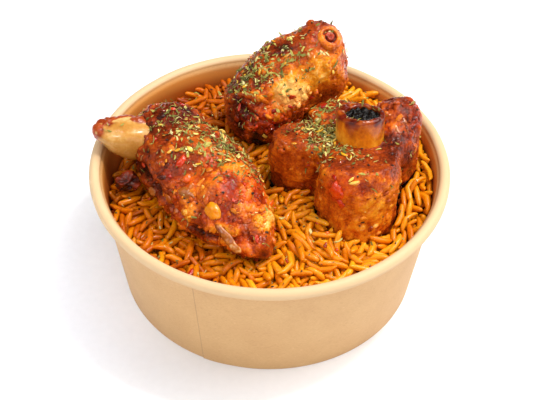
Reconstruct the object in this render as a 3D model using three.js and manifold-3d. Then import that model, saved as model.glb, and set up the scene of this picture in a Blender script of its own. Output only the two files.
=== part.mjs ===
// A take-away bowl of jollof rice with three braised pieces of meat on the bone.
// Millimetres, +Z up. The origin is on the bowl's axis, on the surface it stands on.
import * as THREE from "three";
import { mergeVertices } from "three/addons/utils/BufferGeometryUtils.js";
import Module from "manifold-3d";

const wasm = await Module();
wasm.setup();

// ---------------------------------------------------------------- driving dimensions
const GAP = 0.3; // clearance between pieces that touch

const RIM_R = 75; // outer radius of the rolled rim
const FOOT_R = 64; // outer radius of the wall where the bowl stands
const BOWL_H = 58.5; // height of the rim's top
const BOARD = 0.6; // thickness of the coated paperboard
const ROLL_R = 2.3; // outer radius of the rolled edge
const ROLL_TURN = 1.6 * Math.PI; // how far the edge is rolled round
const HEM_H = 6; // height of the folded foot that grips the base
const BOWL_SIDES = 56;

const RICE_H = 42.5; // height of the rice on its low side
const RICE_STEPS = 8; // rings of the heap's top
const RICE_SIDES = 36;

// ---------------------------------------------------------------- helpers
// A closed lathe of [radius, height] points, turned so that its axis is Z.
function lathe(profile, sides) {
  const points = profile.map(([r, z]) => new THREE.Vector2(r, z));
  return new THREE.LatheGeometry(points, sides).rotateX(Math.PI / 2);
}

function toSolid(geometry) {
  const bare = new THREE.BufferGeometry();
  const source = geometry.index ? geometry.toNonIndexed() : geometry;
  bare.setAttribute("position", source.getAttribute("position"));
  const merged = mergeVertices(bare, 1e-4);
  return new wasm.Manifold(
    new wasm.Mesh({
      numProp: 3,
      vertProperties: new Float32Array(merged.attributes.position.array),
      triVerts: new Uint32Array(merged.index.array),
    }),
  );
}

function toGeometry(solid) {
  const mesh = solid.getMesh();
  const geometry = new THREE.BufferGeometry();
  geometry.setAttribute("position", new THREE.BufferAttribute(mesh.vertProperties, 3));
  geometry.setIndex(new THREE.BufferAttribute(mesh.triVerts, 1));
  geometry.computeVertexNormals();
  return geometry;
}

// A closed surface over a grid of rings and sides, with one point at each pole.
// place(side, ring) gives a point, with both running from 0 to 1.
function closedGrid(sides, rings, place) {
  const positions = [];
  const index = [];
  positions.push(...place(0, 0).toArray());
  for (let i = 1; i < rings; i++) {
    for (let j = 0; j < sides; j++) positions.push(...place(j / sides, i / rings).toArray());
  }
  positions.push(...place(0, 1).toArray());
  const at = (i, j) => 1 + (i - 1) * sides + (j % sides);
  const last = 1 + (rings - 1) * sides;
  for (let j = 0; j < sides; j++) {
    index.push(0, at(1, j + 1), at(1, j));
    index.push(last, at(rings - 1, j), at(rings - 1, j + 1));
    for (let i = 1; i < rings - 1; i++) {
      index.push(at(i, j), at(i, j + 1), at(i + 1, j + 1));
      index.push(at(i, j), at(i + 1, j + 1), at(i + 1, j));
    }
  }
  const geometry = new THREE.BufferGeometry();
  geometry.setAttribute("position", new THREE.Float32BufferAttribute(positions, 3));
  geometry.setIndex(index);
  return geometry;
}

// ---------------------------------------------------------------- lumps
// A lobe is a rounded block: its middle, its radii along, across and up, its heading about Z
// and its pitch in degrees, and how square its ends are, from 2 for an ellipsoid upwards.
function lobe(middle, radii, { heading = 0, pitch = 0, square = 2 } = {}) {
  const { degToRad } = THREE.MathUtils;
  const turn = new THREE.Euler(0, degToRad(-pitch), degToRad(heading), "ZYX");
  const place = new THREE.Matrix4().makeRotationFromEuler(turn).setPosition(...middle);
  return { inverse: place.invert(), radii: new THREE.Vector3(...radii), square };
}

// How far p is outside a lobe, roughly, in millimetres. It is below 0 inside.
function outside({ inverse, radii, square }, p) {
  const { x, y, z } = p.clone().applyMatrix4(inverse).divide(radii);
  const round = Math.hypot(x, y) ** square + Math.abs(z) ** square;
  return (round ** (1 / square) - 1) * Math.min(radii.x, radii.y, radii.z);
}

// Lobes that run into each other. A large blend, per millimetre, leaves sharp creases.
function joined(lobes, blend) {
  return (p) => -Math.log(lobes.reduce((sum, l) => sum + Math.exp(-blend * outside(l, p)), 0)) / blend;
}

// The surface where depth(p) is grow. A ray for each grid point leaves the spine, a line from
// start to end. The rays fan out round each end, and in between they leave square to the spine.
function lumpGeometry({ spine, fan, depth, sides = 28, rings = 15 }, grow = 0) {
  const FAR = 60;
  const STEPS = 100;
  const [start, end] = spine.map((p) => new THREE.Vector3(...p));
  const along = end.clone().sub(start);
  const length = along.length();
  along.normalize();
  const side = new THREE.Vector3(0, 1, 0).cross(along).normalize();
  const across = along.clone().cross(side);
  const quarter = (fan * Math.PI) / 2;
  return closedGrid(sides, rings, (u, v) => {
    const a = 2 * Math.PI * u;
    const way = v * (length + 2 * quarter);
    const polar = (Math.min(way, quarter) + Math.max(0, way - quarter - length)) / fan;
    const root = start.clone().addScaledVector(along, THREE.MathUtils.clamp(way - quarter, 0, length));
    const ray = side.clone().multiplyScalar(Math.cos(a) * Math.sin(polar));
    ray.addScaledVector(across, Math.sin(a) * Math.sin(polar)).addScaledVector(along, -Math.cos(polar));
    const isOut = (far) => depth(root.clone().addScaledVector(ray, far)) > grow;
    let far = FAR;
    while (far > 0 && isOut(far)) far -= FAR / STEPS;
    let near = far;
    far += FAR / STEPS;
    for (let k = 0; k < 12; k++) {
      const half = (near + far) / 2;
      if (isOut(half)) far = half;
      else near = half;
    }
    return root.addScaledVector(ray, near);
  });
}

// ---------------------------------------------------------------- the left piece
const LEFT_HEADING = -58; // degrees from +X to its thin end
const LEFT_MEAT = {
  spine: [[-41, 10, 55], [-12, -34, 53]],
  fan: 14,
  depth: joined(
    [
      lobe([-42.5, 14, 56], [15, 18, 15], { heading: LEFT_HEADING }),
      lobe([-31.5, -4.5, 56], [19, 21, 16], { heading: LEFT_HEADING }),
      lobe([-18.5, -21, 55], [18, 18.5, 13.5], { heading: LEFT_HEADING }),
      lobe([-8.5, -38, 53], [11.5, 10.5, 8.5], { heading: LEFT_HEADING, pitch: -8 }),
    ],
    0.3,
  ),
};
const LEFT_BONE = {
  spine: [[-36, 10, 58], [-64, 8, 64]],
  fan: 6,
  sides: 16,
  rings: 11,
  depth: joined(
    [
      lobe([-44, 9, 60], [16, 5.5, 5.5]),
      lobe([-58, 8.5, 62], [10, 8, 8], { pitch: -14, square: 2.5 }),
      lobe([-67, 7.5, 65], [6, 5, 3], { pitch: -30 }),
    ],
    0.5,
  ),
};

// ---------------------------------------------------------------- the back piece
const BACK_MEAT = {
  spine: [[-1, 37, 59], [17, 46, 79]],
  fan: 12,
  depth: joined(
    [
      lobe([-3, 37, 57], [17, 16, 17], { heading: 30 }),
      lobe([5, 42, 69], [18, 15, 15], { heading: 30, pitch: 40 }),
      lobe([18.5, 46, 81], [12, 9.5, 10], { heading: 30, pitch: 45 }),
      lobe([22.5, 46, 67], [10.5, 9, 15]),
    ],
    0.3,
  ),
};
const KNUCKLE_AT = [24.5, 44.5, 88];
const KNUCKLE_WAY = [0.25, -0.5, 0.83];
const KNUCKLE_R = 4.6;
const KNUCKLE_LENGTH = 13;

// ---------------------------------------------------------------- the right piece
// A slice across the leg: the sawn bone stands up through a flat cut face.
const BONE_WAY = [0, 0.26, 0.97];
const BONE_TOP = [36.8, 5.6, 80];
const BONE_R = 10;
const HOLE_R = 7.1;
const HOLE_SHIFT = 0.7;
const BONE_LENGTH = 30;
const BONE_PROUD = 11.5; // how far the bone stands out of the cut face
const MARROW_SUNK = 1.6;

const RIGHT_FRONT = {
  spine: [[37, -14, 46], [37, -8, 56]],
  fan: 16,
  depth: joined(
    [
      lobe([36, -15.5, 54], [16.5, 17.5, 25], { square: 3.5 }),
      lobe([38, 2, 54], [18, 17, 22], { square: 4 }),
    ],
    0.5,
  ),
};
const RIGHT_LEFT = {
  spine: [[18, 6, 48], [20, 7, 57]],
  fan: 13,
  sides: 20,
  rings: 11,
  depth: joined([lobe([19, 6.5, 54], [19, 12.5, 18], { heading: 8, square: 3.5 })], 1),
};
const RIGHT_BACK = {
  spine: [[26, 20, 56], [32, 21, 58]],
  fan: 10,
  sides: 18,
  rings: 10,
  depth: joined([lobe([29, 20, 57], [14, 10.5, 14], { square: 2.6 })], 1),
};
const RIGHT_HIGH = {
  spine: [[50, 10, 52], [52, 14, 62]],
  fan: 11,
  sides: 20,
  rings: 11,
  depth: joined(
    [
      lobe([52, 8, 58], [10, 15, 15], { square: 2.6 }),
      lobe([53.5, 16, 63], [9, 9, 13], { square: 3 }),
    ],
    0.5,
  ),
};

// ---------------------------------------------------------------- the scrap
const SCRAP = {
  spine: [[-62, -6, 49], [-57, -4, 49]],
  fan: 3,
  sides: 12,
  rings: 8,
  depth: joined([lobe([-59.5, -5, 49], [5, 3.6, 3.6], { heading: 20, square: 2.5 })], 1),
};

// ---------------------------------------------------------------- bowl
const wallR = (z) => FOOT_R + ((RIM_R - 2 * ROLL_R - FOOT_R) * z) / (BOWL_H - ROLL_R);

// The wall is one strip of board: folded in at the foot, and rolled out at the rim.
function wallProfile() {
  const rollZ = BOWL_H - ROLL_R;
  const rollX = RIM_R - ROLL_R;
  const ROLL_STEPS = 6;
  const outer = [];
  const inner = [];
  for (let i = 0; i <= ROLL_STEPS; i++) {
    const a = Math.PI - (ROLL_TURN * i) / ROLL_STEPS;
    inner.push([rollX + ROLL_R * Math.cos(a), rollZ + ROLL_R * Math.sin(a)]);
    const r = ROLL_R - BOARD;
    outer.push([rollX + r * Math.cos(a), rollZ + r * Math.sin(a)]);
  }
  const hemOut = FOOT_R - BOARD - 2 * GAP - BOARD;
  return [
    [FOOT_R, 0],
    ...outer,
    ...inner.reverse(),
    [wallR(BOARD) - BOARD, BOARD],
    [hemOut, BOARD],
    [hemOut, HEM_H],
    [hemOut - BOARD, HEM_H],
    [hemOut - BOARD, 0],
    [FOOT_R, 0],
  ];
}

function baseProfile() {
  const skirt = FOOT_R - BOARD - GAP;
  const top = HEM_H + GAP + BOARD;
  return [
    [0, HEM_H + GAP],
    [skirt - BOARD, HEM_H + GAP],
    [skirt - BOARD, BOARD + GAP],
    [skirt, BOARD + GAP],
    [skirt, top],
    [0, top],
  ];
}

// ---------------------------------------------------------------- rice
// The heap's height: low on the left, banked up towards the back right, with low swells
// and a mound in front of the middle.
function riceHeight(x, y) {
  const { smoothstep } = THREE.MathUtils;
  const swell = 0.9 * Math.sin(0.13 * x + 0.9) * Math.cos(0.11 * y - 0.4);
  const mound = 6 * Math.exp(-((x - 14) ** 2 + (y + 32) ** 2) / 650);
  const bank = 13 * smoothstep(0.6 * x + 0.8 * y, -20, 80);
  const front = 2.5 * smoothstep(-y, 20, 70);
  return RICE_H + swell + mound + bank + front;
}

function riceGeometry() {
  const floor = HEM_H + 2 * GAP + BOARD;
  const edge = (z) => wallR(z) - BOARD - GAP;
  const rings = RICE_STEPS + 2;
  return closedGrid(RICE_SIDES, rings, (u, v) => {
    const a = 2 * Math.PI * u;
    const step = Math.round(v * rings);
    const across = new THREE.Vector3(Math.cos(a), Math.sin(a), 0);
    if (step === 0) return new THREE.Vector3(0, 0, floor);
    if (step === 1) return across.multiplyScalar(edge(floor)).setZ(floor);
    const share = (rings - step) / (rings - 2);
    const reach = edge(RICE_H) * share;
    const z = riceHeight(reach * across.x, reach * across.y);
    return across.multiplyScalar(share === 1 ? edge(z) : reach).setZ(z);
  });
}

// ---------------------------------------------------------------- the part
const group = new THREE.Group();
function add(name, solid, color, roughness) {
  const mesh = new THREE.Mesh(toGeometry(solid), new THREE.MeshStandardMaterial({ color, roughness }));
  mesh.name = name;
  group.add(mesh);
}

const turned = (profile, sides) => toSolid(lathe(profile, sides));
const lump = (piece, grow = 0) => toSolid(lumpGeometry(piece, grow));

// A rod of radius r that stands along way, from low to high measured from the point at.
function rod(at, way, r, low, high, sides = 24, shift = 0) {
  const turn = new THREE.Quaternion().setFromUnitVectors(new THREE.Vector3(0, 0, 1), new THREE.Vector3(...way).normalize());
  const geometry = lathe([[0, low], [r, low], [r, high], [0, high]], sides);
  geometry.translate(shift, 0, 0).applyQuaternion(turn).translate(...at);
  return toSolid(geometry);
}

add("bowl_wall", turned(wallProfile(), BOWL_SIDES), 0xd9ab74, 0.8);
add("bowl_base", turned(baseProfile(), BOWL_SIDES), 0xd9ab74, 0.8);

const leftMeat = lump(LEFT_MEAT).subtract(lump(LEFT_BONE, GAP));
add("left_meat", leftMeat, 0xa4461c, 0.4);
add("left_bone", lump(LEFT_BONE), 0xe8d0a0, 0.35);

const knuckle = (grow) => rod(KNUCKLE_AT, KNUCKLE_WAY, KNUCKLE_R + grow, -KNUCKLE_LENGTH - grow, grow ? 20 : 0, 20);
add("back_meat", lump(BACK_MEAT).subtract(knuckle(GAP)), 0xa4461c, 0.4);
add("back_knuckle", knuckle(0), 0xc4661f, 0.4);

const boneUp = new THREE.Vector3(...BONE_WAY).normalize();
const cutHeight = new THREE.Vector3(...BONE_TOP).dot(boneUp) - BONE_PROUD;
const underCut = boneUp.clone().negate().toArray();
const rightMeat = lump(RIGHT_FRONT)
  .add(lump(RIGHT_LEFT))
  .trimByPlane(underCut, -cutHeight)
  .add(lump(RIGHT_BACK))
  .add(lump(RIGHT_HIGH))
  .subtract(rod(BONE_TOP, BONE_WAY, BONE_R + GAP, -BONE_LENGTH - GAP, 20));
add("right_meat", rightMeat, 0xa4461c, 0.4);
const bore = rod(BONE_TOP, BONE_WAY, HOLE_R, -BONE_LENGTH - 5, 5, 20, HOLE_SHIFT);
add("right_bone", rod(BONE_TOP, BONE_WAY, BONE_R, -BONE_LENGTH, 0).subtract(bore), 0xc9781f, 0.35);
add("right_marrow", rod(BONE_TOP, BONE_WAY, HOLE_R - GAP, -BONE_LENGTH, -MARROW_SUNK, 20, HOLE_SHIFT), 0x1c120e, 0.3);

add("scrap", lump(SCRAP), 0x6a2412, 0.35);

let rice = toSolid(riceGeometry());
for (const piece of [LEFT_MEAT, LEFT_BONE, BACK_MEAT, RIGHT_FRONT, RIGHT_LEFT, RIGHT_BACK, RIGHT_HIGH, SCRAP]) {
  rice = rice.subtract(lump(piece, GAP));
}
add("rice", rice, 0xe08a12, 0.5);

export default group;
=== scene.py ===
# %% [markdown]
# # A take-away bowl of jollof rice with braised meat
#
# The dish is a round bowl of brown kraft board, filled with orange jollof rice. Three pieces of
# braised meat on the bone lie on the rice, and dried herbs and pepper are scattered over them.
# This lesson builds the looks around a fixed frame: the CAD model says where each piece is and
# how large, and each cell below makes one surface or one finish of it.

# %% Load the frame
import math

import bpy
import numpy as np
from mathutils import Matrix, Vector


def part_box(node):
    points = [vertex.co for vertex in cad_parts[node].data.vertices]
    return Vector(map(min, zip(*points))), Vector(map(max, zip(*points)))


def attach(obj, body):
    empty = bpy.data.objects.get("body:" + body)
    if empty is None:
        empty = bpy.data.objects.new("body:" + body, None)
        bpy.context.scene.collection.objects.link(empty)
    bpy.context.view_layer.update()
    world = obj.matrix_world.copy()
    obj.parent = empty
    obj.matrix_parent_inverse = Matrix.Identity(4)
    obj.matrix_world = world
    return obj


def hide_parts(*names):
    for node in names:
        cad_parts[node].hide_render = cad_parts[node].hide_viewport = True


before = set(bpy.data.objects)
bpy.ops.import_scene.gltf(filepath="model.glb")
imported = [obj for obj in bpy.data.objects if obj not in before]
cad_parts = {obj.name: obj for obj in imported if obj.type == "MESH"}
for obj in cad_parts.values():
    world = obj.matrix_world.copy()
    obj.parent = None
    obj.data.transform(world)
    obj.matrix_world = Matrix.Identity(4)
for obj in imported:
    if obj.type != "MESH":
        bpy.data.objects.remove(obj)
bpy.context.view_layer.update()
MM = 0.001  # the frame is in metres, and the sizes below are in millimetres
print("nodes:", ", ".join(sorted(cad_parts)))


# %% [markdown]
# ## Shared tools
#
# Every surface below is a grid of points worked out as one numpy array. A closed grid has one
# point at each end, as a globe has its poles. Rough food needs noise in space as well: it is
# made here from random numbers on a lattice, blended smoothly between the lattice points.

# %% Boxes, colours and nodes
def box(node):
    """The lowest and highest corner of a CAD node, in millimetres."""
    low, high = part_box(node)
    return np.array(low) / MM, np.array(high) / MM


def share(node, *places):
    """Points in a node's box, each given as shares of the box along X, Y and Z."""
    low, high = box(node)
    return [low + (high - low) * np.asarray(place) for place in places]


def srgb(text):
    """A hex colour as linear red, green, blue and alpha: below 0.04045 the curve is a line of
    slope 1 / 12.92, and above it ((c + 0.055) / 1.055) to the power 2.4."""
    values = [int(text[i : i + 2], 16) / 255 for i in (1, 3, 5)]
    return [c / 12.92 if c <= 0.04045 else ((c + 0.055) / 1.055) ** 2.4 for c in values] + [1.0]


def add_node(tree, kind, settings=None, **links):
    """Adds one shader node. Settings are its properties, and each link is an input's name with
    spaces as underscores: a socket is joined to it, and any other value is set on it. An input
    whose name is not unique is given by its number, as in _0."""
    node = tree.nodes.new(kind)
    for name, value in (settings or {}).items():
        setattr(node, name, value)
    for name, value in links.items():
        key = int(name[1:]) if name[1:].isdigit() else name.replace("_", " ")
        if isinstance(value, bpy.types.NodeSocket):
            tree.links.new(value, node.inputs[key])
        else:
            node.inputs[key].default_value = value
    return node


def colour_ramp(tree, factor, stops):
    """A ramp through (place, hex colour) stops, driven by factor."""
    ramp = add_node(tree, "ShaderNodeValToRGB", Fac=factor)
    elements = ramp.color_ramp.elements
    while len(elements) < len(stops):
        elements.new(0.5)
    for element, (place, colour) in zip(elements, stops):
        element.position = place
        element.color = srgb(colour)
    return ramp.outputs["Color"]


# %% Parts that several materials share
def new_material(name, **values):
    """A material, its nodes and its main shader. Each value is set on the shader's input of that
    name, with spaces as underscores."""
    material = bpy.data.materials.new(name)
    material.use_nodes = True
    shader = material.node_tree.nodes["Principled BSDF"]
    for key, value in values.items():
        shader.inputs[key.replace("_", " ")].default_value = value
    return material, material.node_tree, shader


def point_number(tree, name):
    """The number of that name that the mesh keeps at each of its points."""
    return add_node(tree, "ShaderNodeAttribute", {"attribute_name": name}).outputs["Fac"]


def texture(tree, scale, detail, stretch=(1.0, 1.0, 1.0)):
    """A noise pattern from 0 to 1 that is fixed to the piece, with scale lumps to the metre."""
    place = add_node(tree, "ShaderNodeTexCoord").outputs["Object"]
    lie = add_node(tree, "ShaderNodeMapping", Vector=place, Scale=stretch).outputs["Vector"]
    return add_node(tree, "ShaderNodeTexNoise", Vector=lie, Scale=scale, Detail=detail).outputs["Fac"]


def swayed(tree, value, pattern, swing):
    """value, moved by a pattern from half of swing below it to half of swing above it."""
    shift = add_node(
        tree, "ShaderNodeMath", {"operation": "MULTIPLY_ADD"}, _0=pattern, _1=swing, _2=-swing / 2
    ).outputs[0]
    return add_node(tree, "ShaderNodeMath", {"operation": "ADD"}, _0=value, _1=shift).outputs[0]


def spread_over(tree, value, low, high, top):
    """0 where value is below low, rising to top where it is above high."""
    rise = add_node(tree, "ShaderNodeMapRange", Value=value, From_Min=low, From_Max=high, To_Max=top)
    return rise.outputs[0]


def blend_colours(tree, amount, first, second):
    """The first colour where amount is 0, the second where it is 1."""
    mix = add_node(tree, "ShaderNodeMix", {"data_type": "RGBA"}, _0=amount, _6=first, _7=second)
    return mix.outputs[2]


def bumps(tree, height, strength, distance):
    """Normals bent as if the pattern height stood up to distance metres proud."""
    bump = add_node(tree, "ShaderNodeBump", Height=height, Strength=strength, Distance=distance)
    return bump.outputs["Normal"]


# %% Meshes from grids
def mesh_object(name, points, quads, triangles=(), attributes=None, smooth=True):
    """A mesh piece from points in millimetres and its faces, with named numbers per point."""
    quads = np.asarray(quads, np.int32).reshape(-1, 4)
    triangles = np.asarray(triangles, np.int32).reshape(-1, 3)
    loops = np.concatenate([quads.ravel(), triangles.ravel()])
    sizes = np.concatenate([np.full(len(quads), 4), np.full(len(triangles), 3)])
    starts = np.concatenate([[0], np.cumsum(sizes)[:-1]])
    mesh = bpy.data.meshes.new(name)
    mesh.vertices.add(len(points))
    mesh.vertices.foreach_set("co", (np.asarray(points) * MM).astype(np.float32).ravel())
    mesh.loops.add(len(loops))
    mesh.loops.foreach_set("vertex_index", loops.astype(np.int32))
    mesh.polygons.add(len(sizes))
    mesh.polygons.foreach_set("loop_start", starts.astype(np.int32))
    mesh.update(calc_edges=True)
    mesh.validate()
    if smooth:
        mesh.shade_smooth()
    else:
        mesh.shade_flat()
    for key, values in (attributes or {}).items():
        layer = mesh.attributes.new(key, "FLOAT", "POINT")
        layer.data.foreach_set("value", np.asarray(values, np.float32).ravel())
    piece = bpy.data.objects.new(name, mesh)
    bpy.context.scene.collection.objects.link(piece)
    return piece


def closed_faces(rings, sides):
    """The faces of a closed grid. Point 0 is the first pole, then come rings rows of sides
    points each, and the last point is the other pole."""
    ring, side = np.meshgrid(np.arange(rings - 1), np.arange(sides), indexing="ij")
    here = 1 + ring * sides + side
    beside = 1 + ring * sides + (side + 1) % sides
    quads = np.stack([here, beside, beside + sides, here + sides], -1).reshape(-1, 4)
    side = np.arange(sides)
    after = (side + 1) % sides
    last = 1 + rings * sides
    first_cap = np.stack([np.zeros_like(side), 1 + after, 1 + side], -1)
    last_cap = np.stack([np.full_like(side, last), last - sides + side, last - sides + after], -1)
    return quads, np.concatenate([first_cap, last_cap])


def copied_faces(rings, sides, count):
    """The faces of count closed grids whose points follow each other."""
    quads, triangles = closed_faces(rings, sides)
    step = np.arange(count)[:, None, None] * (rings * sides + 2)
    return (quads + step).reshape(-1, 4), (triangles + step).reshape(-1, 3)


def turned_rows(profile, angles):
    """Each (radius, height) of a profile at each of the angles about Z, as rows of points."""
    r, h = profile[:, :1], profile[:, 1:]
    return np.stack(np.broadcast_arrays(r * np.cos(angles), r * np.sin(angles), h), -1)


def turned_faces(rows, sides):
    """The faces of a closed profile of rows points turned round an axis in sides steps."""
    row, side = np.meshgrid(np.arange(rows), np.arange(sides), indexing="ij")
    here, below = row * sides, (row + 1) % rows * sides
    after = (side + 1) % sides
    return np.stack([here + side, here + after, below + after, below + side], -1).reshape(-1, 4)


def finish_piece(piece, material, slot, *nodes):
    """Gives a piece its material, rides it on the one body and hides the CAD parts it stands for."""
    piece.data.materials.append(material)
    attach(piece, "root")
    if nodes:
        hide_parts(*nodes)
    piece.data.calc_loop_triangles()
    print(f"{piece.name}: {len(piece.data.loop_triangles)} triangles")
    return piece


# %% Noise in space
def lattice(cells, seed):
    """A repeatable random number from 0 to 1 for each whole-number cell: the three indices are
    multiplied by large odd numbers, mixed by shifts, and the low 24 bits are kept."""
    i = cells.astype(np.int64)
    h = i[..., 0] * 73856093 ^ i[..., 1] * 19349663 ^ i[..., 2] * 83492791 ^ (seed * 2654435761)
    h = (h ^ (h >> 13)) * 1274126177 & 0xFFFFFFFF
    h = (h ^ (h >> 16)) * 2246822519 & 0xFFFFFFFF
    return ((h ^ (h >> 15)) & 0xFFFFFF) / 0xFFFFFF


def noise(points, size, seed=0):
    """Smooth noise from -1 to 1 with lumps about size across: each point blends its cell's
    eight corner numbers with the weight 3 t^2 - 2 t^3 along each axis."""
    p = points / size
    cell = np.floor(p)
    t = p - cell
    t = t * t * (3 - 2 * t)
    total = np.zeros(points.shape[:-1])
    for corner in np.ndindex(2, 2, 2):
        weight = np.prod(np.where(corner, t, 1 - t), axis=-1)
        total += weight * lattice(cell + corner, seed)
    return 2 * total - 1


def fractal(points, size, octaves=4, seed=0, gain=0.5):
    """Noise at size, half the size and so on, each octave gain times as strong as the last."""
    total, weight = 0.0, 1.0
    for k in range(octaves):
        total = total + weight * noise(points + 17.3 * k, size / 2**k, seed + k)
        weight *= gain
    return total


def pebbles(points, size, seed=0):
    """Round lumps about size across. Each cell holds one random point, and the value falls
    from 1 on the nearest such point to 0 at 0.75 size from it, as a dome does."""
    p = points / size
    cell = np.floor(p)
    nearest = np.full(points.shape[:-1], 9.0)
    for step in np.ndindex(3, 3, 3):
        there = cell + step - 1
        seeds = np.stack([lattice(there, seed + k) for k in range(3)], -1)
        nearest = np.minimum(nearest, np.linalg.norm(p - there - seeds, axis=-1))
    return np.sqrt(np.clip(1 - (nearest / 0.75) ** 2, 0, 1))


def smoothstep(x, low, high):
    """0 below low, 1 above high, and 3 t^2 - 2 t^3 between them."""
    t = np.clip((x - low) / (high - low), 0, 1)
    return t * t * (3 - 2 * t)


# %% [markdown]
# ## The camera and the light
#
# The dish is seen from the diner's side, 44 degrees above the table, with a long lens, so the
# bowl hardly narrows towards the back. A large soft lamp stands high on the right and a little
# behind, a weaker one fills in from the left and one more from the front. Two small lamps give
# wet food its sharp, bright points. A narrow cone of light on the paper keeps the shadow pale.
# The floor is plain and nearly white, and a pale sky lights all sides without being mirrored.

# %% Camera
CAMERA_ABOVE = 43.936  # degrees above the floor
CAMERA_ROLL = 0.768  # degrees
CAMERA_AWAY = 0.49366  # metres from the point looked at
CAMERA_AT = (-0.001083, 0.0, 0.034987)
SENSOR = 36.0  # millimetres
LENS = 77.52  # millimetres


def add_camera():
    """The camera stands away from the point looked at, along a line that is tilted up from -Y."""
    tilt = math.radians(CAMERA_ABOVE)
    camera = bpy.data.objects.new("camera", bpy.data.cameras.new("camera"))
    camera.data.lens = LENS
    camera.data.sensor_width = SENSOR
    camera.location = (
        CAMERA_AT[0],
        CAMERA_AT[1] - CAMERA_AWAY * math.cos(tilt),
        CAMERA_AT[2] + CAMERA_AWAY * math.sin(tilt),
    )
    roll = Matrix.Rotation(math.radians(CAMERA_ROLL), 3, "Z")
    camera.rotation_euler = (Matrix.Rotation(math.pi / 2 - tilt, 3, "X") @ roll).to_euler()
    bpy.context.scene.collection.objects.link(camera)
    bpy.context.scene.camera = camera


add_camera()


# %% Lamps, sky and floor
def add_lamp(name, place, aim, size, watts, colour, spread=180):
    """A round area lamp at place that faces aim, both in metres. Its light leaves in a cone of
    spread degrees."""
    lamp = bpy.data.objects.new(name, bpy.data.lights.new(name, "AREA"))
    lamp.data.shape = "DISK"
    lamp.data.size = size
    lamp.data.spread = math.radians(spread)
    lamp.data.energy = watts
    lamp.data.color = srgb(colour)[:3]
    lamp.location = place
    lamp.rotation_euler = (Vector(aim) - Vector(place)).to_track_quat("-Z", "Y").to_euler()
    bpy.context.scene.collection.objects.link(lamp)


add_lamp("key", (0.56, 0.2, 0.84), (0, 0, 0.03), 1.0, 9.3, "#fffaf4")
add_lamp("spark", (0.3, 0.05, 0.9), (0, 0, 0.04), 0.08, 3.4, "#fff8f0")
add_lamp("fill", (-0.6, -0.35, 0.8), (0, 0, 0.03), 0.9, 2.2, "#fffcf8")
add_lamp("front", (0.2, -0.75, 0.5), (0, 0, 0.04), 0.6, 1.5, "#fff8f0")
add_lamp("side_spark", (-0.35, -0.35, 0.7), (0, 0, 0.04), 0.06, 0.6, "#fff8f0")
add_lamp("paper", (-0.25, -0.07, 0.6), (-0.2, -0.06, 0), 0.16, 0.1, "#f0f4ff", 26)

world = bpy.data.worlds.new("studio")
world.use_nodes = True
world.node_tree.nodes["Background"].inputs["Color"].default_value = srgb("#f6f8ff")
world.node_tree.nodes["Background"].inputs["Strength"].default_value = 0.55
world.cycles_visibility.glossy = False  # only the lamps are mirrored in wet surfaces
bpy.context.scene.world = world
bpy.context.scene.view_settings.view_transform = "Standard"
bpy.context.scene.view_settings.look = "None"

FLOOR = 3.0  # metres across
FLOOR_DROP = 0.05  # millimetres from the foot of the bowl down to the paper


def floor_material():
    """Matt white studio paper: rough, and so pale that it prints as nearly pure white."""
    material, tree, shader = new_material("studio_paper", Roughness=0.9, Specular_IOR_Level=0.1)
    white = colour_ramp(tree, texture(tree, 300.0, 2.0), [(0.0, "#f0f3f7"), (1.0, "#f6f9fd")])
    tree.links.new(white, shader.inputs["Base Color"])
    return material


half = FLOOR / 2 / MM
corners = [[x * half, y * half, -FLOOR_DROP] for x, y in ((-1, -1), (1, -1), (1, 1), (-1, 1))]
floor = mesh_object("floor", corners, [[0, 1, 2, 3]])
floor.data.materials.append(floor_material())
print("camera, six lamps and floor are set")

# %% [markdown]
# ## The kraft bowl
#
# The bowl is one strip of brown kraft board, wrapped into a cone and glued where its ends
# overlap, so a fine step runs down the wall. Its foot is folded in round a disc of the same
# board, and its rim is rolled outwards into a bead. A profile of arcs turned round the axis
# gives all of this at once, and the glued overlap is a small step added to the radius.

# %% Bowl sizes
base_low, base_high = box("bowl_base")
RIM_R = 75.0
FOOT_R = 64.0
BOWL_H = box("bowl_wall")[1][2]
BOARD = 0.6  # thickness
ROLL_R = 2.3  # radius of the rolled rim's bead
ROLL_TURN = 1.6 * math.pi  # how far the rim is rolled
HEM_H = base_high[2] - 0.9  # height of the foot's folded hem
HEM_GAP = 0.6  # between the wall and its hem
SEAM_AT = math.radians(-114.2)
SEAM_STEP = 0.3  # millimetres by which the overlap stands out
OUTER_ROWS = 62  # rows of the profile up to the top of the roll's outer face
ROLL_ROWS = 20  # rows from there to the wall's inside
BOWL_SIDES = 420


def wall_r(z):
    """The wall's outer radius at height z: a straight line from the foot to the rolled rim."""
    return FOOT_R + (RIM_R - 2 * ROLL_R - FOOT_R) * z / (BOWL_H - ROLL_R)


def arc(x, z, r, start, turn, steps):
    """Points on a circle of radius r about (x, z), from angle start through turn."""
    a = start + turn * np.linspace(0, 1, steps)
    return np.stack([x + r * np.cos(a), z + r * np.sin(a)], -1)


def line(start, end, steps):
    """Points from start up to, but not at, end."""
    t = np.arange(steps)[:, None] / steps
    return np.asarray(start) * (1 - t) + np.asarray(end) * t


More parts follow.
